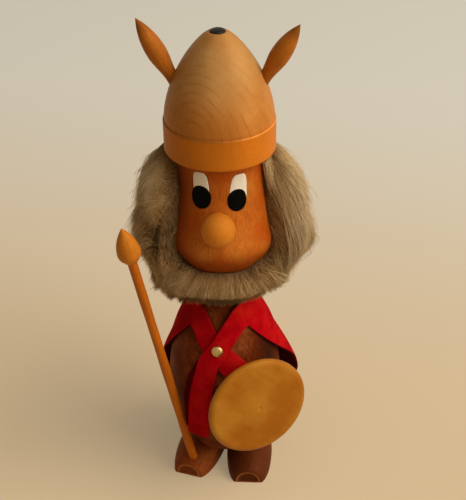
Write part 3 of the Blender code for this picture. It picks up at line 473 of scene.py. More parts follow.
oiled_teak = wood(
    "teak_oiled_dark", "6c290b", "451806", "260c03", pith=(26, -16, 0), ring=3.2, lines=0.4, streak=0.5,
    mottle=0.28, patch=11, faded_and_lit="864522", satin=0.6, gloss=0.12,
)
heights = np.linspace(BODY_Z[0], BODY_Z[-1], 90)
profile = sanded(list(zip(body_radius(heights), heights)), low=1.2, high=0.6)
turn, height = bearings_round(BODY_AROUND), np.array(profile)[:, 1:]
# Painted shadow below the cape's hem on the lamp's side, and a painted highlight beside the tack
painted_cape_shadow = -0.8 * soft_spot(turn, height, bearing=72, width=20, middle=60, reach=14)
painted_body_highlight = 0.25 * soft_spot(turn, height, bearing=42, width=12, middle=67, reach=7)
barrel = turned("body_barrel", profile, (UPRIGHT, AXIS), BODY_AROUND, painted_cape_shadow + painted_body_highlight)
dress(barrel, oiled_teak, "torso", "oiled_teak", "body")

# %% [markdown]
# ## The feet
#
# Each foot is a short spindle sawn along its length, so it lies flat on the table. Its toe is a small sawn
# face with a pale ring where the edge was sanded. A ring of the surface is a circle cut off by the floor,
# so its points share out the arc above the floor and the straight line below it.

# %% Feet
FOOT_LENGTH, FOOT_RADIUS, FOOT_TOE, FOOT_FULLNESS = 34.0, 9.4, 5.2, 0.6
FOOT_X, FOOT_Y, FOOT_AXIS_Z, FOOT_SPLAY, TOE_DROP, SAWN_Z = 10.2, -1.5, 2.1, 8.0, 1.7, 2.2
SAWN_SHARES = np.array([0.2, 0.45, 0.66, 0.74, 0.8, 0.88, 0.95])  # rings on a sawn face, from its middle out
SAWN_DENTS = np.array([0.25, 0.2, 0.3, 0.0, 0.02, 0.0, 0.0])
SAWN_WEAR = np.interp(SAWN_SHARES, [0.6, 0.74, 0.88, 0.95], [-0.4, -0.2, 0.5, 0.35])
FOOT_WEAR = -0.25


def foot_ring(radius, axis, over=44, chord=16):
    """Circle about a point at the axis' height, cut at the floor: the arc over the top and the chord back."""
    start = -math.asin(axis / radius)
    angle = np.linspace(start, math.pi - start, over)
    x, z = radius * np.cos(angle), np.maximum(axis + radius * np.sin(angle), 0)
    back = np.linspace(x[-1], x[0], chord + 2)[1:-1]
    return np.concatenate([x, back]), np.concatenate([z, 0 * back])


def spindle_foot(name, side):
    """Rings along the spindle from heel to toe; at each end they shrink towards a point above the floor.

    A ring's radius is toe + (belly - toe) * (1 - (2 y / length) ^ 2) ^ fullness, y being its place along.
    """
    along = np.sin(np.linspace(-math.pi / 2, math.pi / 2, 40)) * FOOT_LENGTH / 2
    full = np.clip(1 - (2 * along / FOOT_LENGTH) ** 2, 0, 1) ** FOOT_FULLNESS
    radii = FOOT_TOE + (FOOT_RADIUS - FOOT_TOE) * full
    axes = FOOT_AXIS_Z - TOE_DROP * smoothstep(along / FOOT_LENGTH * 2)
    rings = [np.stack([x, 0 * x + a, z], -1) for a, (x, z) in zip(along, map(foot_ring, radii, axes))]
    middle, sawn = UP * SAWN_Z, list(zip(SAWN_SHARES, SAWN_DENTS))
    heel = [middle + (rings[0] - middle) * [s, 1, s] + [0, d, 0] for s, d in sawn]
    toe = [middle + (rings[-1] - middle) * [s, 1, s] - [0, d, 0] for s, d in sawn]
    ends = [middle + [0, along[0] + SAWN_DENTS[0], 0], middle + [0, along[-1] - SAWN_DENTS[0], 0]]
    points, quads, fans = closed_rings(np.array(heel + rings + toe[::-1]), *ends)
    towards_toe = outward(side * FOOT_SPLAY)
    columns = np.column_stack([np.cross(towards_toe, UP), towards_toe, UP])
    origin = AXIS + np.array([side * FOOT_X, FOOT_Y, 0]) * MM
    piece = put(name, placed(points, (columns, origin)), quads, fans, crease=50)
    paleness = np.concatenate([SAWN_WEAR, 0 * along + FOOT_WEAR, SAWN_WEAR[::-1]])
    wear_and_painted_light(piece, np.concatenate([paleness[:1], np.repeat(paleness, len(rings[0])), paleness[-1:]]))
    return piece, towards_toe


# One tone per foot, painted light: the left foot, in the shield's shadow, darker, the right one paler
for side, label, tone in ((1, "left", "682a0b"), (-1, "right", "a44b19")):
    foot, towards_toe = spindle_foot(f"foot_{label}_spindle", side)
    foot_teak = wood(
        f"teak_oiled_foot_painted_light_{label}", tone, "451a06", "240b03", grain=towards_toe, pith=(side * 24, 0, 14),
        ring=2.4, streak=0.35, faded_and_lit="905f30", satin=0.6,
    )
    dress(foot, foot_teak, "torso", "oiled_teak", f"foot_{label}")

# %% [markdown]
# ## The head
#
# A red-brown turned block, narrow at the chin and full at the jaw. It is turned a little to the figure's
# left. The nose is a bead with a flat back, set square on the slope of the face.

# %% Head
HEAD_Z, HEAD_TURN, HEAD_AROUND = 99.9, 8.5, 128
HEAD_H = np.array([0.0, 9.0, 20.0, 32.5, 44.4])
HEAD_R = np.array([16.0, 20.5, 18.4, 16.2, 16.5])
turn = math.radians(HEAD_TURN)
HEAD = (
    np.array([[math.cos(turn), -math.sin(turn), 0], [math.sin(turn), math.cos(turn), 0], [0, 0, 1]]),
    AXIS + UP * HEAD_Z * MM,
)


def head_radius(height):
    """Radius of the block at a height over its base."""
    return hermite(HEAD_H, HEAD_R, height)


def on_head(bearing, height, lift=0.0):
    """Points in the head's frame on its skin, or lifted off it along the radius."""
    return round_axis(head_radius(height) + lift, bearing, height)


red_teak = wood(
    "teak_oiled_red", "b8550f", "8a3a0a", "5a2406", pith=(-30, -14, 0), ring=4.5, lines=0.3, streak=0.2,
    pored=0.3, patch=20, faded_and_lit="cc8432",
)
heights = np.linspace(0, HEAD_H[-1], 70)
profile = sanded(list(zip(head_radius(heights), heights)), low=1.0, high=0.4)
turn, height = bearings_round(HEAD_AROUND), np.array(profile)[:, 1:]
# Painted light on the face: a painted highlight on the left cheek, painted shade down the right side
painted_cheek_highlight = 0.1 * soft_spot(turn, height, bearing=36, width=18, middle=17, reach=7)
painted_side_shade = -0.56 * np.exp(-(((turn + 60) / 27) ** 2))
chin = -0.3 * smoothstep(1.7 - height / 8)
face = turned("head_block", profile, HEAD, HEAD_AROUND, painted_cheek_highlight + painted_side_shade + chin)
dress(face, red_teak, "head", "red_teak", "head")

# %% Nose
NOSE_RADIUS, NOSE_FLAT, NOSE_HEIGHT = 6.1, 4.4, 22.3


def square_to(radius_at, bearing, height, lift):
    """Frame and origin in mm of a piece that stands square on a turned surface, lifted off it."""
    slope = float(radius_at(height - 1) - radius_at(height + 1)) / 2
    out = outward(bearing, math.degrees(math.atan(slope)))
    return frame_of(out), outward(bearing) * float(radius_at(height)) + UP * height + lift * out


columns, origin = square_to(head_radius, 0, NOSE_HEIGHT, GAP)
nose_place = (HEAD[0] @ columns, placed(origin, HEAD))
flat = math.asin(NOSE_FLAT / NOSE_RADIUS)
ball = arc((0, NOSE_RADIUS * math.cos(flat)), (NOSE_RADIUS, NOSE_RADIUS), math.degrees(flat), 180, 40)
nose_beech = wood(
    "beech_waxed_nose", "d07f26", "b3681a", "8a4c12", grain=(0.2, -0.3, 1), pith=(9, -6, 0), ring=2.0,
    lines=0.35, streak=0.08, pored=0.15,
)
dress(turned("nose_ball", [(0, 0), *ball], nose_place, 72), nose_beech, "head", "waxed_beech", "nose")

# %% [markdown]
# ## The painted eyes
#
# The eyes are two dabs of white enamel with a black one over each. A picture on the head would blur close
# up, so they are thin domed films that follow the wood: a flat outline in degrees and millimetres, laid on
# the head's own radius. The white was drawn on with a brush and shows its strokes; the black has sunk in
# and hardly shines.

# %% Painted eyes
FACE_RADIUS, FILM_SUNK, ENAMEL_RELIEF = 16.3, 0.05, 0.05


def flecked(name, per_mm, dark, light, low=0.3, dull=None, detail=3.0, relief=0.0, **values):
    """Plain finish broken by a fine noise, with this many flecks to the millimetre along each axis.

    The noise takes its colour from dark to light and its roughness through the range dull; relief is a bump.
    """
    made, tree, shader = finish(name, **values)
    place = node(tree, "TexCoord").outputs["Object"]
    grain = node(tree, "Mapping", {"Vector": place, "Scale": np.broadcast_to(per_mm, 3) / MM})
    fleck = node(tree, "TexNoise", {"Vector": grain, "Scale": 1.0, "Detail": detail})
    wire(tree, shader, {"Base Color": node(tree, "ValToRGB", [fleck], [(low, dark), (NOISE_HIGH, light)])})
    if dull:
        wire(tree, shader, {"Roughness": node(tree, "MapRange", [fleck, 0, 1, *dull])})
    if relief:
        bumps = {"Height": fleck, "Strength": relief, "Distance": ENAMEL_RELIEF * MM}
        wire(tree, shader, {"Normal": node(tree, "Bump", bumps)})
    return made


def dab(name, bearing, height, half_width, half_height, squareness, slant, taper, thickness, layer):
    """Film of paint on the face, closed above and below.

    Its outline is |x / w| ^ n + |y / h| ^ n = 1, slanted by x += slant * y and narrowed upwards by taper.
    Its height falls to nothing at the outline as (1 - share ^ 6) ^ 0.5.
    """
    angle = np.linspace(0, 2 * math.pi, 64, endpoint=False)
    c, s = np.cos(angle), np.sin(angle)
    reach = (np.abs(c) ** squareness + np.abs(s) ** squareness) ** (-1 / squareness)
    over = np.linspace(1, 0, 15)[:-1]
    share = np.concatenate([[0.5], over])[:, None]
    lift = np.concatenate([[-FILM_SUNK], layer + thickness * np.sqrt(1 - over**6)])[:, None]
    y = share * reach * s * half_height
    x = share * reach * c * half_width * (1 - taper * y / half_height) + slant * y
    rings = on_head(bearing + np.degrees(x / FACE_RADIUS), height + y, lift)
    ends = (on_head(bearing, np.array(height), off) for off in (-FILM_SUNK, layer + thickness))
    points, quads, fans = closed_rings(rings, *ends)
    return put(name, placed(points, HEAD), quads, fans)


white_paint = flecked(
    "eye_white_enamel", (1.5, 1.5, 0.16), "f0eadd", "fbf8f0", dull=(0.38, 0.55), detail=2.0, relief=0.3,
    IOR=1.5,
)
black_paint = flecked(
    "pupil_black_enamel", 0.9, "010101", "030303", dull=(0.5, 0.65), detail=2.0, IOR=1.5,
    Specular_IOR_Level=0.05,
)
WHITE_COAT, BLACK_COAT = {"thickness": 0.14, "layer": 0.06}, {"thickness": 0.16, "layer": 0.2}
# Bearing, height, half width, half height, squareness, slant and taper of each dab
EYES = (
    ("eye_white_right", white_paint, WHITE_COAT, (-22.5, 36.6, 3.05, 5.9, 3.6, -0.04, 0.1)),
    ("eye_white_left", white_paint, WHITE_COAT, (25.8, 35.6, 3.3, 5.9, 3.6, 0.06, 0.14)),
    ("pupil_right", black_paint, BLACK_COAT, (-22.2, 32.5, 3.75, 4.45, 2.1, 0.0, 0.0)),
    ("pupil_left", black_paint, BLACK_COAT, (23.6, 31.4, 3.55, 4.2, 2.1, 0.0, 0.0)),
)
for name, paint, coat, shape in EYES:
    dress(dab(name, *shape, **coat), paint, "head", "red_teak")

# %% [markdown]
# ## The helmet and its horns
#
# The helmet is an egg of paler wood with a ledge above its rim band and a flat crown with a black plug. Its
# pith comes out at the front of the ledge, leaning forward, so the dome cuts the rings into nested arches
# round that spot. The band was wiped with a warmer stain. The horns are spindles pushed into slanted holes,
# dark where the stain has gathered at their ends.

# %% Helmet
HELMET_H, HELMET_AROUND = HEAD_H[-1] + GAP, 144
RIM_RADIUS, BAND_RADIUS, BAND_HEIGHT = 20.0, 19.6, 11.8
DOME_HEIGHT, DOME_RISE, DOME_FULLNESS, CROWN_RADIUS, CROWN_SWELL = 31.4, 1.7, 0.8, 3.5, 0.05
LEDGE_DROP, LEDGE_ROUND, LEDGE_LIP, RIM_BEVEL = 0.1, 0.3, 0.02, 0.9
GROOVE_DEPTH, GROOVE_HEIGHT, STAIN_DROP = 0.12, 0.25, 0.4
HELMET_PITH, HELMET_PITH_TIP = -17, 50  # bearing where the pith comes out, and its elevation
HELMET = (HEAD[0], HEAD[1] + UP * HELMET_H * MM)


def helmet_radius(height):
    """Egg over the band: crown + (band - crown) * (1 - share ^ rise) ^ fullness, share being the way up."""
    share = np.clip((height - BAND_HEIGHT) / DOME_HEIGHT, 0, 1)
    return CROWN_RADIUS + (BAND_RADIUS - CROWN_RADIUS) * (1 - share**DOME_RISE) ** DOME_FULLNESS


dome = BAND_HEIGHT + DOME_HEIGHT * np.sin(np.linspace(0, math.pi / 2, 70))[1:]
rim = arc((RIM_RADIUS - RIM_BEVEL, RIM_BEVEL), (RIM_BEVEL, RIM_BEVEL), 0, 90)
ledge_z = BAND_HEIGHT - LEDGE_DROP - LEDGE_ROUND
wall = [(RIM_RADIUS, z) for z in np.linspace(RIM_BEVEL + 0.3, ledge_z - 0.3, 14)]
ledge = arc((RIM_RADIUS - LEDGE_ROUND, ledge_z), (LEDGE_ROUND, LEDGE_ROUND), 90, 180)
groove_r, groove_z = BAND_RADIUS - GROOVE_DEPTH, BAND_HEIGHT - LEDGE_DROP
groove = [(BAND_RADIUS + LEDGE_LIP, groove_z), (groove_r, groove_z), (groove_r, BAND_HEIGHT + GROOVE_HEIGHT)]
crown_z = dome[-1] + CROWN_SWELL
crown = [*zip(helmet_radius(dome), dome), (CROWN_RADIUS * 0.9, crown_z), (0, crown_z)]
outline = [(0, 0), *rim, *wall, *ledge, *groove, *crown]
ledge_world = HEAD_Z + HELMET_H + BAND_HEIGHT
helmet_beech = wood(
    "beech_waxed_helmet", "b47d40", "943c0e", "84491c", grain=outward(HELMET_PITH, HELMET_PITH_TIP),
    pith=outward(HELMET_PITH) * BAND_RADIUS + UP * ledge_world, ring=2.9, lines=0.54, spread=38, streak=0.07,
    pored=0.1, patch=16, faded_and_lit="bd9258", stain=("cc761b", ledge_world - LEDGE_DROP - STAIN_DROP),
)
to_left = np.sin(np.radians(bearings_round(HELMET_AROUND)))
on_ledge = np.zeros((len(outline), 1))
ledge_start = 1 + len(rim) + len(wall)
on_ledge[ledge_start : ledge_start + len(ledge) + 1] = 1
# Painted light: paler towards the lamp, most of all as a painted highlight along the ledge,
# and darker as painted shade on the other side
ledge_painted_light = 0.42 * smoothstep((to_left - 0.2) / 0.5) - 0.28 * smoothstep((0.35 - to_left) / 0.5)
side_painted_light = 0.16 * smoothstep((to_left - 0.25) / 0.5) - 0.12 * smoothstep((-0.1 - to_left) / 0.5)
egg = turned("helmet_egg", outline, HELMET, HELMET_AROUND, on_ledge * ledge_painted_light + side_painted_light)
dress(egg, helmet_beech, "head", "waxed_beech", "helmet")

# %% Crown plug
PLUG_RADIUS, PLUG_DEPTH, PLUG_EDGE, PLUG_DOME = 2.8, 2.0, 0.15, 0.95
# Lacquer that has gathered a little dust: a soft, broken shine
lacquer = flecked(
    "plug_black_lacquer", 0.7, "0d0a06", "1c160d", low=0.35, dull=(0.3, 0.5), IOR=1.5, Specular_IOR_Level=0.2
)
cap = arc((0, PLUG_EDGE), (PLUG_RADIUS, PLUG_DOME), 90, 180, 14)
stem = [(0, -PLUG_DEPTH), (PLUG_RADIUS, -PLUG_DEPTH), (PLUG_RADIUS, -PLUG_DEPTH / 2)]
top = (HELMET[0], HELMET[1] + UP * (BAND_HEIGHT + DOME_HEIGHT) * MM)
plug = turned("crown_plug_cap", [*stem, *cap], top, 64)
dress(plug, lacquer, "head", "black_lacquer", "crown_plug")

# %% Horns
HORN_HEIGHT, HORN_RADIUS, HORN_TENON, HORN_SUNK, HORN_BELLY, HORN_POINT = 26.5, 3.5, 2.2, 6.0, 0.43, 2.2
for side, label, tilt, length in ((1, "left", 31.5, 22.7), (-1, "right", 28.5, 24.4)):
    belly = HORN_BELLY * length
    swell = np.linspace(0, belly, 24)
    taper = np.linspace(belly, length, 40)[1:-1]
    lower = HORN_TENON + (HORN_RADIUS - HORN_TENON) * smoothstep(swell / belly)
    upper = HORN_RADIUS * (1 - ((taper - belly) / (length - belly)) ** HORN_POINT)
    tenon = [(0, -HORN_SUNK), (HORN_TENON, -HORN_SUNK)]
    spindle = [*tenon, *zip(lower, swell), *zip(upper, taper), (0, length)]
    lean = outward(side * 90, 90 - tilt)
    base = np.array([side * float(helmet_radius(HORN_HEIGHT)), 0, HORN_HEIGHT])
    place = (HELMET[0] @ frame_of(lean), placed(base, HELMET))
    horn_beech = wood(
        f"beech_waxed_horn_{label}", "b66a20", "8a4410", "4c1f06", grain=HELMET[0] @ lean,
        pith=(side * 14, -9, 0), ring=1.9, lines=0.3, streak=0.16, pored=0.3, mottle=0.2,
    )
    share = np.array(spindle)[:, 1] / length
    dark_ends = -0.45 * smoothstep((share - 0.7) / 0.2) - 0.3 * smoothstep(1 - share / 0.22)
    horn = turned(f"horn_{label}_spindle", spindle, place, 64, dark_ends)
    dress(horn, horn_beech, "head", "waxed_beech", f"horn_{label}")

# %% [markdown]
# ## Shield and spear
#
# The shield is a thin turned disc with a rounded edge, a low cone for a face and the dimple of the lathe's
# centre. Its grain lies in the disc's plane. It sits on a bare dowel in the body. The spear is a dowel in a
# socket in the right foot, with a turned bud on its end; a hand scraper left the dowel a little uneven.

# %% Shield
SHIELD_BEARING, SHIELD_TILT, SHIELD_STAND_OFF, SHIELD_PEG_Z = 35.6, 5.2, 8.1, 46.5
SHIELD_RADIUS, SHIELD_BACK, SHIELD_EDGE = 20.2, 2.0, 2.4
SHIELD_CROWN, SHIELD_FALL, SHIELD_CONE = 2.6, 0.32, 1.2
LATHE_DEPTH, LATHE_PITCH, LATHE_END, DIMPLE_DEPTH, DIMPLE_RADIUS = 0.02, 0.9, 0.97, 0.5, 0.6
shield_out = outward(SHIELD_BEARING, SHIELD_TILT)
peg_skin = outward(SHIELD_BEARING) * float(body_radius(SHIELD_PEG_Z)) + UP * SHIELD_PEG_Z
shield_place = (frame_of(shield_out), AXIS + (peg_skin + shield_out * SHIELD_STAND_OFF) * MM)
flat = SHIELD_RADIUS - SHIELD_EDGE
share = np.linspace(1, 0, 60)
lathe = LATHE_DEPTH * np.sin(share * flat * 2 * math.pi / LATHE_PITCH) * (share < LATHE_END)
dimple = DIMPLE_DEPTH * np.exp(-((share * flat / DIMPLE_RADIUS) ** 2))
rise = SHIELD_CROWN * (1 - SHIELD_FALL * share**SHIELD_CONE) + lathe - dimple
rim_low = arc((flat, 0), (SHIELD_EDGE, SHIELD_BACK), 0, 90, 12)
rim_high = arc((flat, 0), (SHIELD_EDGE, rise[0]), 90, 180, 12)[1:-1]
outline = [(0, -SHIELD_BACK), *rim_low, *rim_high, *zip(flat * share, rise)]
disc = turned("shield_disc", outline, shield_place, 144)
shield_beech = wood(
    "beech_waxed_shield", "aa6511", "96540e", "7a430c", pith=(40, -10, 70), ring=2.8, lines=0.2, streak=0.07,
    grain=np.cross(shield_out, outward(SHIELD_BEARING + 60, 40)), pored=0.12, mottle=0.08, patch=18,
    faded_and_lit="b8822c", satin=0.45,
)
dress(disc, shield_beech, "shield", "waxed_beech", "shield")

# %% Shield peg
PEG_RADIUS, PEG_START, PEG_END, PEG_ROUND = 2.5, -9.0, 8.5, 0.1
bare_birch = wood(
    "birch_dowel_bare", "c9a877", "b08e5e", "8a6a40", grain=shield_out, pith=(5, 5, 40), ring=1.6, lines=0.4,
    streak=0.25, satin=0.6,
)
side = [(PEG_RADIUS, z) for z in np.linspace(PEG_START + 0.5, PEG_END - 0.5, 12)]
ends = [[(0, z), (PEG_RADIUS - PEG_ROUND, z)] for z in (PEG_START, PEG_END)]
peg_place = (frame_of(shield_out), AXIS + peg_skin * MM)
peg = turned("shield_peg_dowel", [*ends[0], *side, *ends[1][::-1]], peg_place, 48)
dress(peg, bare_birch, "torso", "birch_dowel", "shield_peg")

# %% Spear
SPEAR_BEARING, SPEAR_LEAN, SPEAR_RADIUS, SPEAR_LENGTH = -43.2, 11.9, 1.75, 127.0
SPEAR_END, SPEAR_TENON = 1.5, 4.0
SOCKET_ALONG, SOCKET_INWARD, SOCKET_FLOOR = 12.5, 1.6, 2.8
spear_up = outward(SPEAR_BEARING, 90 - SPEAR_LEAN)
toe = outward(-FOOT_SPLAY) * SOCKET_ALONG + np.array([SOCKET_INWARD - FOOT_X, FOOT_Y, FOOT_AXIS_Z])
spear_foot = toe + spear_up * ((SOCKET_FLOOR - toe[2]) / spear_up[2] + GAP)
spear_place = (frame_of(spear_up), AXIS + spear_foot * MM)

BUD_LENGTH, BUD_RADIUS, BUD_BASE, BUD_WIDEST = 14.8, 4.0, 2.6, 0.43
shaft_top = SPEAR_LENGTH - BUD_LENGTH + SPEAR_TENON
rise = np.linspace(0.5, shaft_top, 90)
scraped = SPEAR_RADIUS + 0.05 * np.sin(rise / 7.0) + 0.03 * np.sin(rise / 2.9 + 1)
outline = [(0, 0), (SPEAR_END, 0), *zip(scraped, rise), (0, shaft_top + 0.3)]
shaft = turned("spear_dowel", outline, spear_place, 48)
spear_beech = wood(
    "beech_waxed_spear", "c56a12", "a25410", "6a3408", grain=spear_up, pith=(-26, -30, 60), ring=1.4,
    lines=0.4, streak=0.16, pored=0.2,
)
dress(shaft, spear_beech, "spear", "waxed_beech", "spear_shaft")

# %% Spear's bud
heights = np.linspace(0, BUD_LENGTH, 60)
knots = np.array([0, 0.15, BUD_WIDEST, 0.8, 1]) * BUD_LENGTH
swell = hermite(knots, [0, 0.72, 1, 0.55, 0], heights)
radii = BUD_BASE * (1 - heights / BUD_LENGTH) + (BUD_RADIUS - BUD_BASE * (1 - BUD_WIDEST)) * swell
bud_place = (spear_place[0], spear_place[1] + spear_up * (SPEAR_LENGTH - BUD_LENGTH) * MM)
bud = turned("spear_bud", [(0, 0), *zip(radii, heights)], bud_place, 64)
bud_beech = wood(
    "beech_waxed_bud", "cb7c22", "a85e18", "7a400e", grain=spear_up, pith=(-24, -26, 60), ring=1.7, lines=0.4,
    streak=0.12, pored=0.2,
)
dress(bud, bud_beech, "spear", "waxed_beech", "spear_head")

# %% [markdown]
# ## The felt cape
#
# The cape and its two ties are one piece of pressed wool felt, which has no weave and does not fray, so it
# was cut and not hemmed. The ties cross on the chest under a brass tack and one of them hangs down as a
# tail. Each part is a grid of bearings and heights laid on the body. The grids share their edge points, so
# the felt is one sheet.

# %% Routes of the strips
FELT, ACROSS = 1.0, 9  # thickness, and points across a strip
TIE_ROOT, TIE_TAPER, TIE_LIFT, LEFT_WIDTH, RIGHT_WIDTH, TAIL_WIDTH = 8.6, 16.0, 6.0, 8.2, 9.6, 8.0
BELLY_Z, BELLY_R = BODY_Z[2], BODY_R[2]
TACK_BEARING, TACK_Z = 4.3, 67.2
# Middle lines: bearing, and height over the tack
LEFT_TIE = [
    (48, 11.2), (36, 11.2), (23, 8.2), (12, 4.0), (4.3, 0),
    (-3.8, -3.9), (-8, -10.9), (-12, -20.6), (-14.8, -32.9), (-15.6, -39.7),
]
RIGHT_TIE = [(-36.5, 10.2), (-24, 8.4), (-11.5, 4.3), (2, -0.5), (11.5, -3.8), (25, -8.6), (31, -11.0)]
UNDER_TAIL = [(-10, -7.5), (-17, -13.9), (-21, -20.9), (-22.5, -29.9), (-21, -37.9)]


def felt_point(bearing, z, lift):
    """Point on felt that lies on the body, or hangs straight down below its belly."""
    return round_axis(body_radius(np.maximum(z, BELLY_Z)) + GAP + lift, bearing, z)


def strip(route, side, stations, root, end):
    """Bearings and heights of a strip laid round the body: lines across, offset square to a smooth route.

    Its width goes from root to end over the taper's length. Also returns how far along each line lies.
    """
    bearings, heights = np.array(route, float).T
    sideways = np.radians(bearings) * BELLY_R
    knots = np.concatenate([[0], np.cumsum(np.hypot(np.diff(sideways), np.diff(heights)))])
    along = np.linspace(0, knots[-1], stations)
    x, z = hermite(knots, sideways, along), hermite(knots, heights, along)
    dx, dz = np.gradient(x, along), np.gradient(z, along)
    length = np.hypot(dx, dz)
    width = root + (end - root) * smoothstep(along / TIE_TAPER)
    offset = np.linspace(0.5, -0.5, ACROSS) * width[:, None] * side
    x = x[:, None] + offset * (dz / length)[:, None]
    z = z[:, None] - offset * (dx / length)[:, None]
    return np.degrees(x / BELLY_R), TACK_Z + z, along


# %% Cape grid
COLLAR_Z, COLLAR_LEFT, COLLAR_RIGHT, CAPE_LENGTH, NECKLINE = 92.0, 62.0, 26.0, 66.0, 0.7
CONE_R, FLARE_LEFT, FLARE_RIGHT, FLARE_SHARE, SOFTNESS = 4.5, 0.545, 0.50, 0.22, 6.0
FLARE_LENGTH, FLARE_SHORTER = 52.0, 7.0  # and how much shorter at the right
CORNER_LEFT, CORNER_RIGHT, RISE_LEFT, RISE_RIGHT, FRONT_CURVE, HEM_CURVE = 0.52, 0.625, 0.38, 0.43, 0.8, 6.0
FOLD_DEPTH, FOLD_WAVES, FOLD_START = 0.35, 13.0, 1.0


def front_edge(tie, collar_bearing, rows):
    """Front edge of the cape: from the collar straight down the neckline, then across the tie's root."""
    bearings, heights = tie
    corner = len(rows) - ACROSS
    share = rows[: corner + 1] / rows[corner]
    neck_bearing = collar_bearing + (bearings[0, 0] - collar_bearing) * share
    neck_height = COLLAR_Z + (heights[0, 0] - COLLAR_Z) * share
    return np.concatenate([neck_bearing, bearings[0, 1:]]), np.concatenate([neck_height, heights[0, 1:]])


def cape_grid(left, right, columns=121):
    """Rows from collar to hem, columns from the left front edge round the back.

    The felt stands off as a cone, which turns to hang straight down past the flare's length d:
    spread = drop / (1 + (drop / d) ^ n) ^ (1 / n). Shallow waves deepen towards the hem.
    """
    rows = np.concatenate([np.linspace(0, NECKLINE, 17)[:-1], np.linspace(NECKLINE, 1, ACROSS)])
    left_bearing, left_height = front_edge(left, COLLAR_LEFT, rows)
    right_bearing, right_height = front_edge(right, -COLLAR_RIGHT, rows)
    u = np.linspace(1, -1, columns)
    reach = np.abs(u)
    edge = np.where(u > 0, 180 - left_bearing[:, None], -180 - right_bearing[:, None])
    bearing = 180 - reach * edge
    back = COLLAR_Z - CAPE_LENGTH * rows[:, None]
    front = np.where(u > 0, left_height[:, None], right_height[:, None])
    corner, rise = np.where(u > 0, CORNER_LEFT, CORNER_RIGHT), np.where(u > 0, RISE_LEFT, RISE_RIGHT)
    cut_front = (1 - rise) * np.clip((reach - corner) / (1 - corner), 0, 1) ** FRONT_CURVE
    z = back + (front - back) * (rise * np.minimum(reach / corner, 1) ** HEM_CURVE + cut_front)
    snug = body_radius(np.maximum(z, BELLY_Z)) + GAP
    flare_length = FLARE_LENGTH - FLARE_SHORTER * np.clip(-u, 0, 1)
    drop = (COLLAR_Z - z) / flare_length
    spread = flare_length * drop / (1 + drop**SOFTNESS) ** (1 / SOFTNESS)
    cone = CONE_R + (FLARE_RIGHT + (FLARE_LEFT - FLARE_RIGHT) * (1 + u) / 2) * spread
    free = smoothstep((1 - reach) / FLARE_SHARE)
    fold = FOLD_DEPTH * rows[:, None] ** 2 * (1 + np.sin(u * FOLD_WAVES + FOLD_START)) * free
    return felt_point(bearing, z, free * np.maximum(cone - snug, 0) + fold)


# %% Cape, ties and the tail beneath
CUT_WIDTH, CUT_LENGTH, CUT_ROUND, CUT_ANGLE = 160.0, 90.0, 0.22, 60


def outward_cells(numbers, points):
    """Faces of a grid of vertex numbers, turned over where they would face the body's axis."""
    quads = numbers.ravel()[grid_quads(*numbers.shape)]
    first, second = points[quads[:, 2]] - points[quads[:, 0]], points[quads[:, 3]] - points[quads[:, 1]]
    facing = (np.cross(first, second)[:, :2] * points[quads[:, 0], :2]).sum()
    return quads if facing > 0 else quads[:, ::-1]


def felt_sheet(name, points, grids):
    """Sheet from vertex grids, thickened outwards, its cut edges rounded; returns it and its area."""
    quads = np.concatenate([outward_cells(numbers, points) for numbers in grids])
    a, b, c, d = (points[quads[:, i]] for i in range(4))
    area = np.linalg.norm(np.cross(c - a, d - b), axis=1).sum() / 2
    piece = put(name, placed(points, (UPRIGHT, AXIS)), quads)
    wall = piece.modifiers.new("thickness", "SOLIDIFY")
    wall.thickness, wall.offset = FELT * MM, 1
    edge = piece.modifiers.new("cut_edge", "BEVEL")
    edge.width, edge.segments = CUT_ROUND * MM, 2
    edge.limit_method, edge.angle_limit = "ANGLE", math.radians(CUT_ANGLE)
    return piece, area


left_bearing, left_height, along = strip(LEFT_TIE, 1, 70, TIE_ROOT, LEFT_WIDTH)
right_bearing, right_height, _ = strip(RIGHT_TIE, -1, 60, TIE_ROOT, RIGHT_WIDTH)
over = (FELT + GAP) * smoothstep(along / TIE_LIFT)
left_tie = felt_point(left_bearing, left_height, over[:, None])
right_tie = felt_point(right_bearing, right_height, 0.0)
shawl = cape_grid((left_bearing, left_height), (right_bearing, right_height))
count = shawl[..., 0].size
points, grids = [shawl.reshape(-1, 3)], [np.arange(count).reshape(shawl.shape[:2])]
for tie, edge in ((left_tie, 0), (right_tie, -1)):
    free = tie[1:].reshape(-1, 3)
    numbers = count + np.arange(len(free)).reshape(-1, ACROSS)
    grids.append(np.concatenate([grids[0][None, -ACROSS:, edge], numbers]))
    points.append(free)
    count += len(free)
cape, cape_area = felt_sheet("felt_cape", np.concatenate(points), grids)
tail_bearing, tail_height, _ = strip(UNDER_TAIL, 1, 40, TAIL_WIDTH, TAIL_WIDTH)
tail = felt_point(tail_bearing, tail_height, 0.0)
tail_numbers = np.arange(tail[..., 0].size).reshape(-1, ACROSS)
under_tail, _ = felt_sheet("felt_under_tail", tail.reshape(-1, 3), [tail_numbers])

# %% Felt
MAT_SIZE, DYE_SIZE, FELT_RELIEF, INNER_SIDE = 0.5, 7.0, 0.25, -2.0


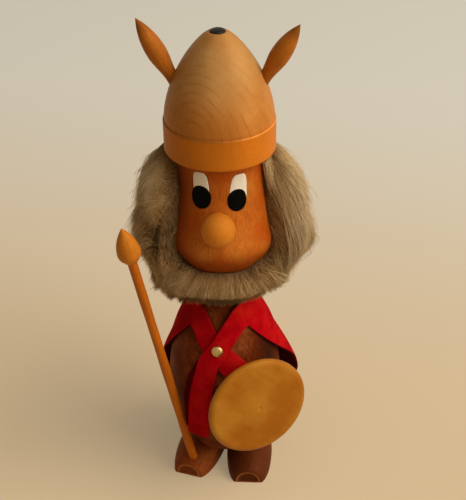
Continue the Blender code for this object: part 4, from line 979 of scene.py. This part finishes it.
def felt_finish(name, deep, dye, bright, inside):
    """Pressed wool: a mat of fibres half a millimetre across, patchy dye and a faint sheen at its edges.

    The side that faces the body is a flat dark red: painted shade, as the cape's inside gets no light.
    """
    made, tree, shader = finish(
        name, Roughness=0.95, Specular_IOR_Level=0.05, Sheen_Weight=0.2, Sheen_Roughness=0.5,
        Sheen_Tint=linear(bright),
    )
    place = node(tree, "TexCoord").outputs
    fibres = {"Vector": place["Object"], "Scale": 1 / (MAT_SIZE * MM), "Detail": 5.0, "Roughness": 0.7}
    mat = node(tree, "TexNoise", fibres)
    patches = node(tree, "TexNoise", {"Vector": place["Object"], "Scale": 1 / (DYE_SIZE * MM), "Detail": 2.0})
    both = node(tree, "Math", [mat, patches], operation="ADD")
    half = node(tree, "Math", [both, 0.5], operation="MULTIPLY")
    colour = node(tree, "ValToRGB", [half], stops=[(0.32, deep), (0.5, dye), (0.66, bright)])
    from_axis = node(tree, "VectorMath", [place["Object"], AXIS], operation="SUBTRACT")
    faces_out = node(tree, "VectorMath", [from_axis, place["Normal"]], operation="DOT_PRODUCT")
    inner = node(tree, "Math", [faces_out, INNER_SIDE * MM], operation="LESS_THAN")
    shade = node(tree, "Mix", {"Factor": inner, "A": colour, "B": linear(inside)}, data_type="RGBA")
    bump = node(tree, "Bump", {"Height": mat, "Strength": 0.6, "Distance": FELT_RELIEF * MM})
    wire(tree, shader, {"Base Color": shade, "Normal": bump})
    return made


# The last colour of each is painted shade on the felt's inner side, which faces the body
red_felt = felt_finish("wool_felt_pressed_red", "8e0210", "b80312", "d02018", "2a0204")
# The tail beneath is a darker copy of the same felt: painted shade, as it hangs behind the tail
shaded_felt = felt_finish("wool_felt_pressed_red_painted_shade", "450106", "5a0308", "6a080a", "2a0204")
dress(cape, red_felt, "torso", "red_felt", "cape")
dress(under_tail, shaded_felt, "torso", "red_felt", "under_tail")
print(f"cape and ties: {cape_area:.0f} square mm of felt")

# %% [markdown]
# ## The brass tack
#
# A stamped upholstery tack pins both ties where they cross. Its head is a low dome on a short straight
# edge. The brass has been rubbed dull by handling, so it mirrors the room only as a soft broken highlight.

# %% Brass tack
TACK_RADIUS, TACK_BASE, TACK_EDGE, TACK_DOME = 2.2, 2.12, 0.12, 1.08
columns, origin = square_to(body_radius, TACK_BEARING, TACK_Z, 3 * GAP + 2 * FELT)
outline = [(0, 0), (TACK_BASE, 0), *arc((0, TACK_EDGE), (TACK_RADIUS, TACK_DOME), 90, 180, 14)]
tack = turned("brass_tack_head", outline, (columns, AXIS + origin * MM), 48)
brass = flecked("brass_stamped_polished", 1 / 0.6, "b4975a", "ccb078", dull=(0.36, 0.44), Metallic=1.0)
dress(tack, brass, "torso", "brass", "brass_tack")

# %% [markdown]
# ## The fur
#
# Beard and hair are strips of long-haired fur glued round the head. A solid form can give its mass, but
# what the eye reads is strands: dark at the root, paler at the tip, lying in locks that all run down and
# away from the face. So a thinner dark pelt keeps light from shining through, and some seventy thousand
# three-sided strands lie over it. Their paths are worked out in the fur's own coordinates: bearing, share
# of the height, and depth. The pelt's darkness is the hide's own colour and painted shade of the deep hair.

# %% Form of the fur
THROAT_RADIUS, CHIN_RISE, JAW_RISE = 16.8, 1.5, 3.0
FACE_LEFT, FACE_RIGHT, FACE_BLEND = 69.0, 57.0, 12.0  # bearings of the face's edges, and how soft they are
# At the beard, the left side, the right side and the back
HEM_DROP, FUR_DEPTH = (8.2, 5.4, 9.6, 8.5), (7.5, 12.3, 11.8, 13.0)
HEM_SQUARE, TOP_SQUARE = (2.2, 4.0, 6.0, 5.0), (2.2, 3.0, 5.0, 3.0)
FUR_LOW, FUR_HIGH = 0.07, 0.98  # shares of the height past which the depth stays as it is


def round_the_head(bearing, beard, left, right, back):
    """Size that goes smoothly from its value at the chin to those at the sides and the back."""
    turn, side = np.abs(bearing), np.where(bearing > 0, left, right)
    to_side, to_back = smoothstep((turn - 8) / 74), smoothstep((turn - 100) / 70)
    return beard + (side - beard) * to_side + (back - side) * to_back


def past_face(bearing):
    """Degrees from the edge of the face towards the back of the head."""
    return np.abs(bearing) - np.where(bearing > 0, FACE_LEFT, FACE_RIGHT)


def fur_hem_and_top(bearing):
    """Heights of the lower and upper edge: under the chin in front, under the helmet past the temples."""
    rise = smoothstep(past_face(bearing) / FACE_BLEND / 2 + 0.5)
    chin = CHIN_RISE + JAW_RISE * smoothstep((np.abs(bearing) - 25) / 25)
    return -round_the_head(bearing, *HEM_DROP), chin + (HEAD_H[-1] - GAP - chin) * rise


def fur_point(bearing, share, depth, sunk=0.0):
    """Point in the head's frame: bearing, share of the way up from the hem, depth from skin to outer form.

    The depth in mm bulges between the edges as (1 - |2 s - 1| ^ n) ^ (1 / n + 0.3), with n higher at the hem.
    sunk is how far below the skin the depth starts.
    """
    hem, top = fur_hem_and_top(bearing)
    height = hem + (top - hem) * share
    throat = HEAD_R[0] + (THROAT_RADIUS - HEAD_R[0]) * height / hem
    inner = np.where(height < 0, np.minimum(throat, THROAT_RADIUS), head_radius(height)) + GAP - sunk
    level = np.clip(share, FUR_LOW, FUR_HIGH)
    n = np.where(level < 0.5, round_the_head(bearing, *HEM_SQUARE), round_the_head(bearing, *TOP_SQUARE))
    bulge = (1 - np.abs(2 * level - 1) ** n) ** (1 / n + 0.3)
    return round_axis(inner + round_the_head(bearing, *FUR_DEPTH) * bulge * depth, bearing, height)


# %% Pelt under the strands
PELT_DEPTH, PELT_SUNK = 0.62, 1.2


def pelt(name, start, end, columns):
    """Closed loft: at each bearing a section down the inner wall and up the outer one, with capped ends."""
    bearing = wrapped(np.linspace(start, end, columns)[:, None])
    share = np.linspace(0.03, 0.97, 24)[None, :]
    inner, outer = fur_point(bearing, share, 0.0, PELT_SUNK)[:, ::-1], fur_point(bearing, share, PELT_DEPTH)
    rings = np.concatenate([inner, outer], axis=1)
    points, quads, fans = closed_rings(rings, rings[0].mean(0), rings[-1].mean(0))
    return put(name, placed(points, HEAD), quads[:, ::-1], fans[:, ::-1])


# Hide under the hair: matt, streaked along the way the hair lies, and dark as painted shade of deep hair
pelt_shade = flecked("fur_pelt_painted_shade", (1.1, 1.1, 0.22), "523f28", "806846", Roughness=1.0, Specular_IOR_Level=0.1)
for label, start, end, columns in (("beard", -104.8, 104.8, 150), ("hair", 105.2, 254.8, 90)):
    dress(pelt(f"{label}_pelt", start, end, columns), pelt_shade, "head", "grey_fur", label)

# %% Roots of the strands
FUR_RADIUS, FUR_HEIGHT, LEAST_HEIGHT = 30.0, 53.0, 20.0
DENSITY = 9.0  # strands to a square mm
EDGE_SHARE, EDGE_START = 0.3, 0.86  # how many start at the upper edge, and from what share of the height
rng = np.random.default_rng(11)


def fur_roots(start, end):
    """Bearings and shares of the height of roots spread evenly over a range of bearings.

    Nearly a third lie at the upper edge, so that the edge beside the face and above the beard is hair too.
    """
    count = int(DENSITY * math.radians(end - start) * FUR_RADIUS * FUR_HEIGHT)
    bearing = wrapped(rng.uniform(start, end, count))
    at_edge = rng.uniform(0, 1, count) < EDGE_SHARE
    share = np.where(at_edge, rng.uniform(EDGE_START, 1.0, count), rng.uniform(0.0, 1.0, count))
    hem, top = fur_hem_and_top(bearing)
    keep = rng.uniform(0, FUR_HEIGHT, count) < np.maximum(top - hem, LEAST_HEIGHT)
    return bearing[keep], share[keep], at_edge[keep]


# %% Paths of the strands
RINGS = np.array([0.0, 0.36, 0.72])
STEPS = np.concatenate([RINGS, [1.0]])
LOCK_SIZE, LOCK_SPREADS = 60, (0.14, 0.08, 13)  # strands to a lock; spreads of its tint, depth and lean
# At the beard, the left side, the right side and the back
LENGTHS, LEAN_SPREADS = (9.0, 14.0, 14.0, 14.0), (14, 10, 10, 10)
PULLS, HEM_TRIM = (0.25, 0.55, 0.55, 0.55), (2.2, 0, 0, 0)
SHORTEST, WAVE, STRAYS = 3.5, 0.4, 0.05
HOLLOW_BEARING, HOLLOW_Z, HOLLOW_SLANT, HOLLOW_SLANT_Z = -60, 12.5, 0.48, 13.0
HOLLOW_WIDTH, HOLLOW_REACH, HOLLOW_EDGE, HOLLOW_SOFT = 5.0, 8.5, 1.55, 0.8
TEMPLE_BEARING, TEMPLE_WIDTH, TEMPLE_Z, TEMPLE_SOFT = 77, 7, 28, 8


def flow(bearing, share):
    """Smooth wandering of the strands' direction, in degrees: three sines across the fur."""
    turn = np.radians(bearing)
    waves = np.sin(5 * turn + 4 * share + 0.4) + np.sin(9 * turn - 7 * share + 2.1)
    return 5 * (waves + np.sin(14 * turn + 9 * share + 4.4))


def hollow_at(bearing, height):
    """Fur parting by the right cheek, in painted shade: a slanted oval, 1 in its middle and 0 outside."""
    across = bearing - HOLLOW_BEARING + HOLLOW_SLANT * (height - HOLLOW_SLANT_Z)
    away = np.hypot(across / HOLLOW_WIDTH, (height - HOLLOW_Z) / HOLLOW_REACH)
    return smoothstep((HOLLOW_EDGE - away) / HOLLOW_SOFT)


def strand_tint(bearing, share, rise, lock_tint, temple):
    """Tint, 0 dark to 1 pale, by lock and strand: paler above, painted light up the sides, dark under the
    chin.
    """
    in_beard = 1 - smoothstep((np.abs(bearing) - 8) / 50)
    to_right = smoothstep((-30 - bearing) / 25) * smoothstep((bearing + 150) / 40)
    to_left = smoothstep((bearing - 30) / 25) * smoothstep((150 - bearing) / 40)
    tint = 0.47 + lock_tint * (1 - 0.6 * in_beard) + rng.normal(0, 0.12, len(bearing))
    tint = tint + 0.2 * smoothstep((share - 0.35) / 0.4) + 0.2 * temple
    tint = tint + in_beard * (0.05 - 0.28 * smoothstep(1.2 - 2.0 * share))
    # Painted light: both sides paler, towards the lamp from low down, away from it high up under the helmet
    tint = tint + to_right * (0.08 + 0.3 * smoothstep((rise - 25) / 8))
    return tint + to_left * (0.1 + 0.32 * smoothstep((rise - 8) / 10))


def strand_paths(start, end):
    """Each strand's path of points from root to tip over a range of bearings, and its tint.

    A strand falls from its root by its length, leans with the flow, and comes out through the pelt on a curve
    that starts steep. Towards the tip it is drawn to the strand at the middle of its lock. It leans away from
    the face, and at the left temple towards it. A tuft stands out behind the left jaw.
    """
    bearing, share, at_edge = fur_roots(start, end)
    hem, top = fur_hem_and_top(bearing)
    count, height = len(bearing), hem + (top - hem) * share

    locks = rng.choice(count, count // LOCK_SIZE, replace=False)
    across = np.radians(wrapped(bearing[:, None] - bearing[None, locks])) * FUR_RADIUS
    nearest = np.argmin(across**2 + ((height[:, None] - height[None, locks]) * 0.5) ** 2, axis=1)
    lock_tint, lock_depth, lock_lean = (rng.normal(0, spread, len(locks))[nearest] for spread in LOCK_SPREADS)
    pull = np.degrees(-across[np.arange(count), nearest] / FUR_RADIUS) * round_the_head(bearing, *PULLS)

    length = round_the_head(bearing, *LENGTHS) * rng.uniform(0.7, 1.3, count)
    ragged = rng.uniform(-0.5, 2.2, count) - round_the_head(bearing, *HEM_TRIM)
    length = np.maximum(np.minimum(length, height - hem + ragged), SHORTEST)[:, None]
    temple = np.exp(-(((bearing - TEMPLE_BEARING) / TEMPLE_WIDTH) ** 2))
    temple = temple * smoothstep((height - TEMPLE_Z) / TEMPLE_SOFT)
    beside_face = np.exp(-np.maximum(past_face(bearing), 0) / 22)
    lean = np.sign(bearing) * (3 + 12 * beside_face * smoothstep(np.abs(bearing) / 40)) - 24 * temple
    loose = rng.normal(0, 1, count) * round_the_head(bearing, *LEAN_SPREADS)
    lean = np.radians(lean + flow(bearing, share) + lock_lean + loose)[:, None]
    root_depth = np.where(at_edge, rng.uniform(0.0, 0.8, count), rng.uniform(0.25, 0.7, count))
    stray = rng.uniform(0, 1, count) < STRAYS
    tip_depth = 0.97 + lock_depth + rng.normal(0, 0.05, count) + stray * rng.uniform(0.08, 0.25, count)

    t = STEPS[None, :]
    wave = WAVE * np.sin(2 * math.pi * (1.2 * t + rng.uniform(0, 1, count)[:, None])) * t
    sideways = np.degrees((length * t * np.sin(lean) + wave) / FUR_RADIUS)
    path_bearing = wrapped(bearing[:, None] + sideways + pull[:, None] * t**1.3)
    path_share = share[:, None] - length * t * np.cos(lean) / (top - hem)[:, None]
    middle = path_bearing[:, 2]
    low, high = fur_hem_and_top(middle)
    rise = low + (high - low) * path_share[:, 2]
    hollow, tuft = hollow_at(middle, rise), soft_spot(middle, rise, bearing=90, width=12, middle=3, reach=5)
    tip_depth = tip_depth - 0.35 * hollow + 0.3 * tuft + 0.1 * temple
    root_depth = root_depth * (1 - 0.3 * hollow) + 0.25 * temple
    path_depth = root_depth[:, None] + (tip_depth - root_depth)[:, None] * (1 - (1 - t) ** 2)
    # Strands in the hollow are darkened: painted shade in the parting.
    tint = strand_tint(bearing, share, rise, lock_tint, temple) * (1 - hollow)
    return fur_point(path_bearing, path_share, path_depth), np.clip(tint, 0, 0.999)


def lock_paths(count, root, root_spread, tip, tip_spread):
    """Paths of one lock, all from about one bearing, height and distance off the skin to about another."""
    start = np.array(root) + rng.normal(0, 1, (count, 3)) * root_spread
    end = np.array(tip) + rng.normal(0, 1, (count, 3)) * tip_spread
    path = start[:, None] + (end - start)[:, None] * STEPS[None, :, None]
    bearing, height, off = np.moveaxis(path, -1, 0)
    return on_head(bearing, height, np.maximum(off, GAP))


# %% Strands
STRAND_RADIUS, TINTS = 0.08, 48
SWATHES = {
    "chin_right": (-60, 5), "chin_left": (5, 70), "left": (70, 116), "left_nape": (116, 162),
    "back": (162, 208), "right_nape": (208, 254), "right": (254, 300),
}


def strands(name, paths, tint, first_level=0.0):
    """Three-sided tapering strands along paths, each closed by one face at its root and a point at its tip.

    The UV map gives each strand a column for its tint and runs from its root, at the first level, to its tip.
    """
    count, rows = len(paths), len(RINGS)
    along = np.gradient(paths, axis=1)[:, :rows]
    along /= np.linalg.norm(along, axis=2, keepdims=True)
    side = np.cross(along, paths[:, :rows] * [1, 1, 0])
    side /= np.linalg.norm(side, axis=2, keepdims=True) + 1e-9
    lift = np.cross(side, along)
    angle = np.arange(3) * 2 * math.pi / 3 + math.pi / 2
    thick = STRAND_RADIUS * np.sqrt(1 - RINGS**1.5)[None, :, None, None]
    ring = side[:, :, None] * np.cos(angle)[:, None] + lift[:, :, None] * np.sin(angle)[:, None]
    rings = paths[:, :rows, None] + thick * ring
    points = np.concatenate([rings.reshape(count, -1, 3), paths[:, rows:]], axis=1)
    last, tip = 3 * (rows - 1), 3 * rows
    ends = np.array([[last, last + 1, tip], [last + 1, last + 2, tip], [last + 2, last, tip], [2, 1, 0]])
    first = (np.arange(count) * (3 * rows + 1))[:, None, None]
    quads = (grid_quads(rows, 3, wrap=True) + first).reshape(-1, 4)
    tris = (ends + first).reshape(-1, 3)
    piece = put(name, placed(points.reshape(-1, 3), HEAD), quads, tris)
    level = first_level + (1 - first_level) * np.concatenate([np.repeat(RINGS, 3), [1.0]])
    column = np.concatenate([np.tile([0.2, 0.5, 0.8], rows), [0.5]])
    u = (np.floor(tint * TINTS)[:, None] + column) / TINTS
    v = 0.02 + 0.96 * np.broadcast_to(level, u.shape)
    uv = np.stack([u, v], -1).reshape(-1, 2)
    corners = np.concatenate([quads.ravel(), tris.ravel()])
    piece.data.uv_layers.new(name="OFBake").data.foreach_set("uv", uv[corners].astype(np.float32).ravel())
    return piece


# Hair: a soft shine along pale tips over dark roots, each strand with a tint of its own
fur_hair, tree, shader = finish(
    "fur_grey_brown_combed", Roughness=0.7, Specular_IOR_Level=0.2, Sheen_Weight=0.3,
    Sheen_Tint=linear("dccdb0"),
)
split = node(tree, "SeparateXYZ", [node(tree, "UVMap", uv_map="OFBake")]).outputs
tints = [(0.0, "30240f"), (0.25, "8a6636"), (0.5, "b8955d"), (0.75, "dcbe8b"), (1.0, "f8e8c8")]
tint_ramp = node(tree, "ValToRGB", [split["X"]], stops=tints)
tip_ramp = node(tree, "ValToRGB", [split["Y"]], stops=[(0.0, "b09874"), (0.4, "dcd0ba"), (1.0, "ffffff")])
wire(tree, shader, {"Base Color": node(tree, "VectorMath", [tint_ramp, tip_ramp], operation="MULTIPLY")})
for label, (start, end) in SWATHES.items():
    paths, tint = strand_paths(start, end)
    dress(strands(f"fur_{label}_strands", paths, tint), fur_hair, "head", "grey_fur")
paths = lock_paths(
    260, root=(70, 43.2, 1.4), root_spread=(4, 0.4, 0.5), tip=(79, 27, 4.0), tip_spread=(4, 4.5, 1.2)
)
tint = np.clip(rng.normal(0.8, 0.14, len(paths)), 0, 0.999)
dress(strands("fur_temple_lock", paths, tint, first_level=0.5), fur_hair, "head", "grey_fur")

# %% [markdown]
# ## The hidden dowels
#
# Four dowels hold the figure together inside. Only a gap could show them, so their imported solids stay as
# they are and only take the bare birch of the shield's peg.

# %% Inner dowels
for label in ("foot_dowel_left", "foot_dowel_right", "neck_dowel", "helmet_dowel"):
    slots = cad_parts[label].data.materials
    slots.clear()
    slots.append(bare_birch)
    print(f"{label}: {bare_birch.name}")
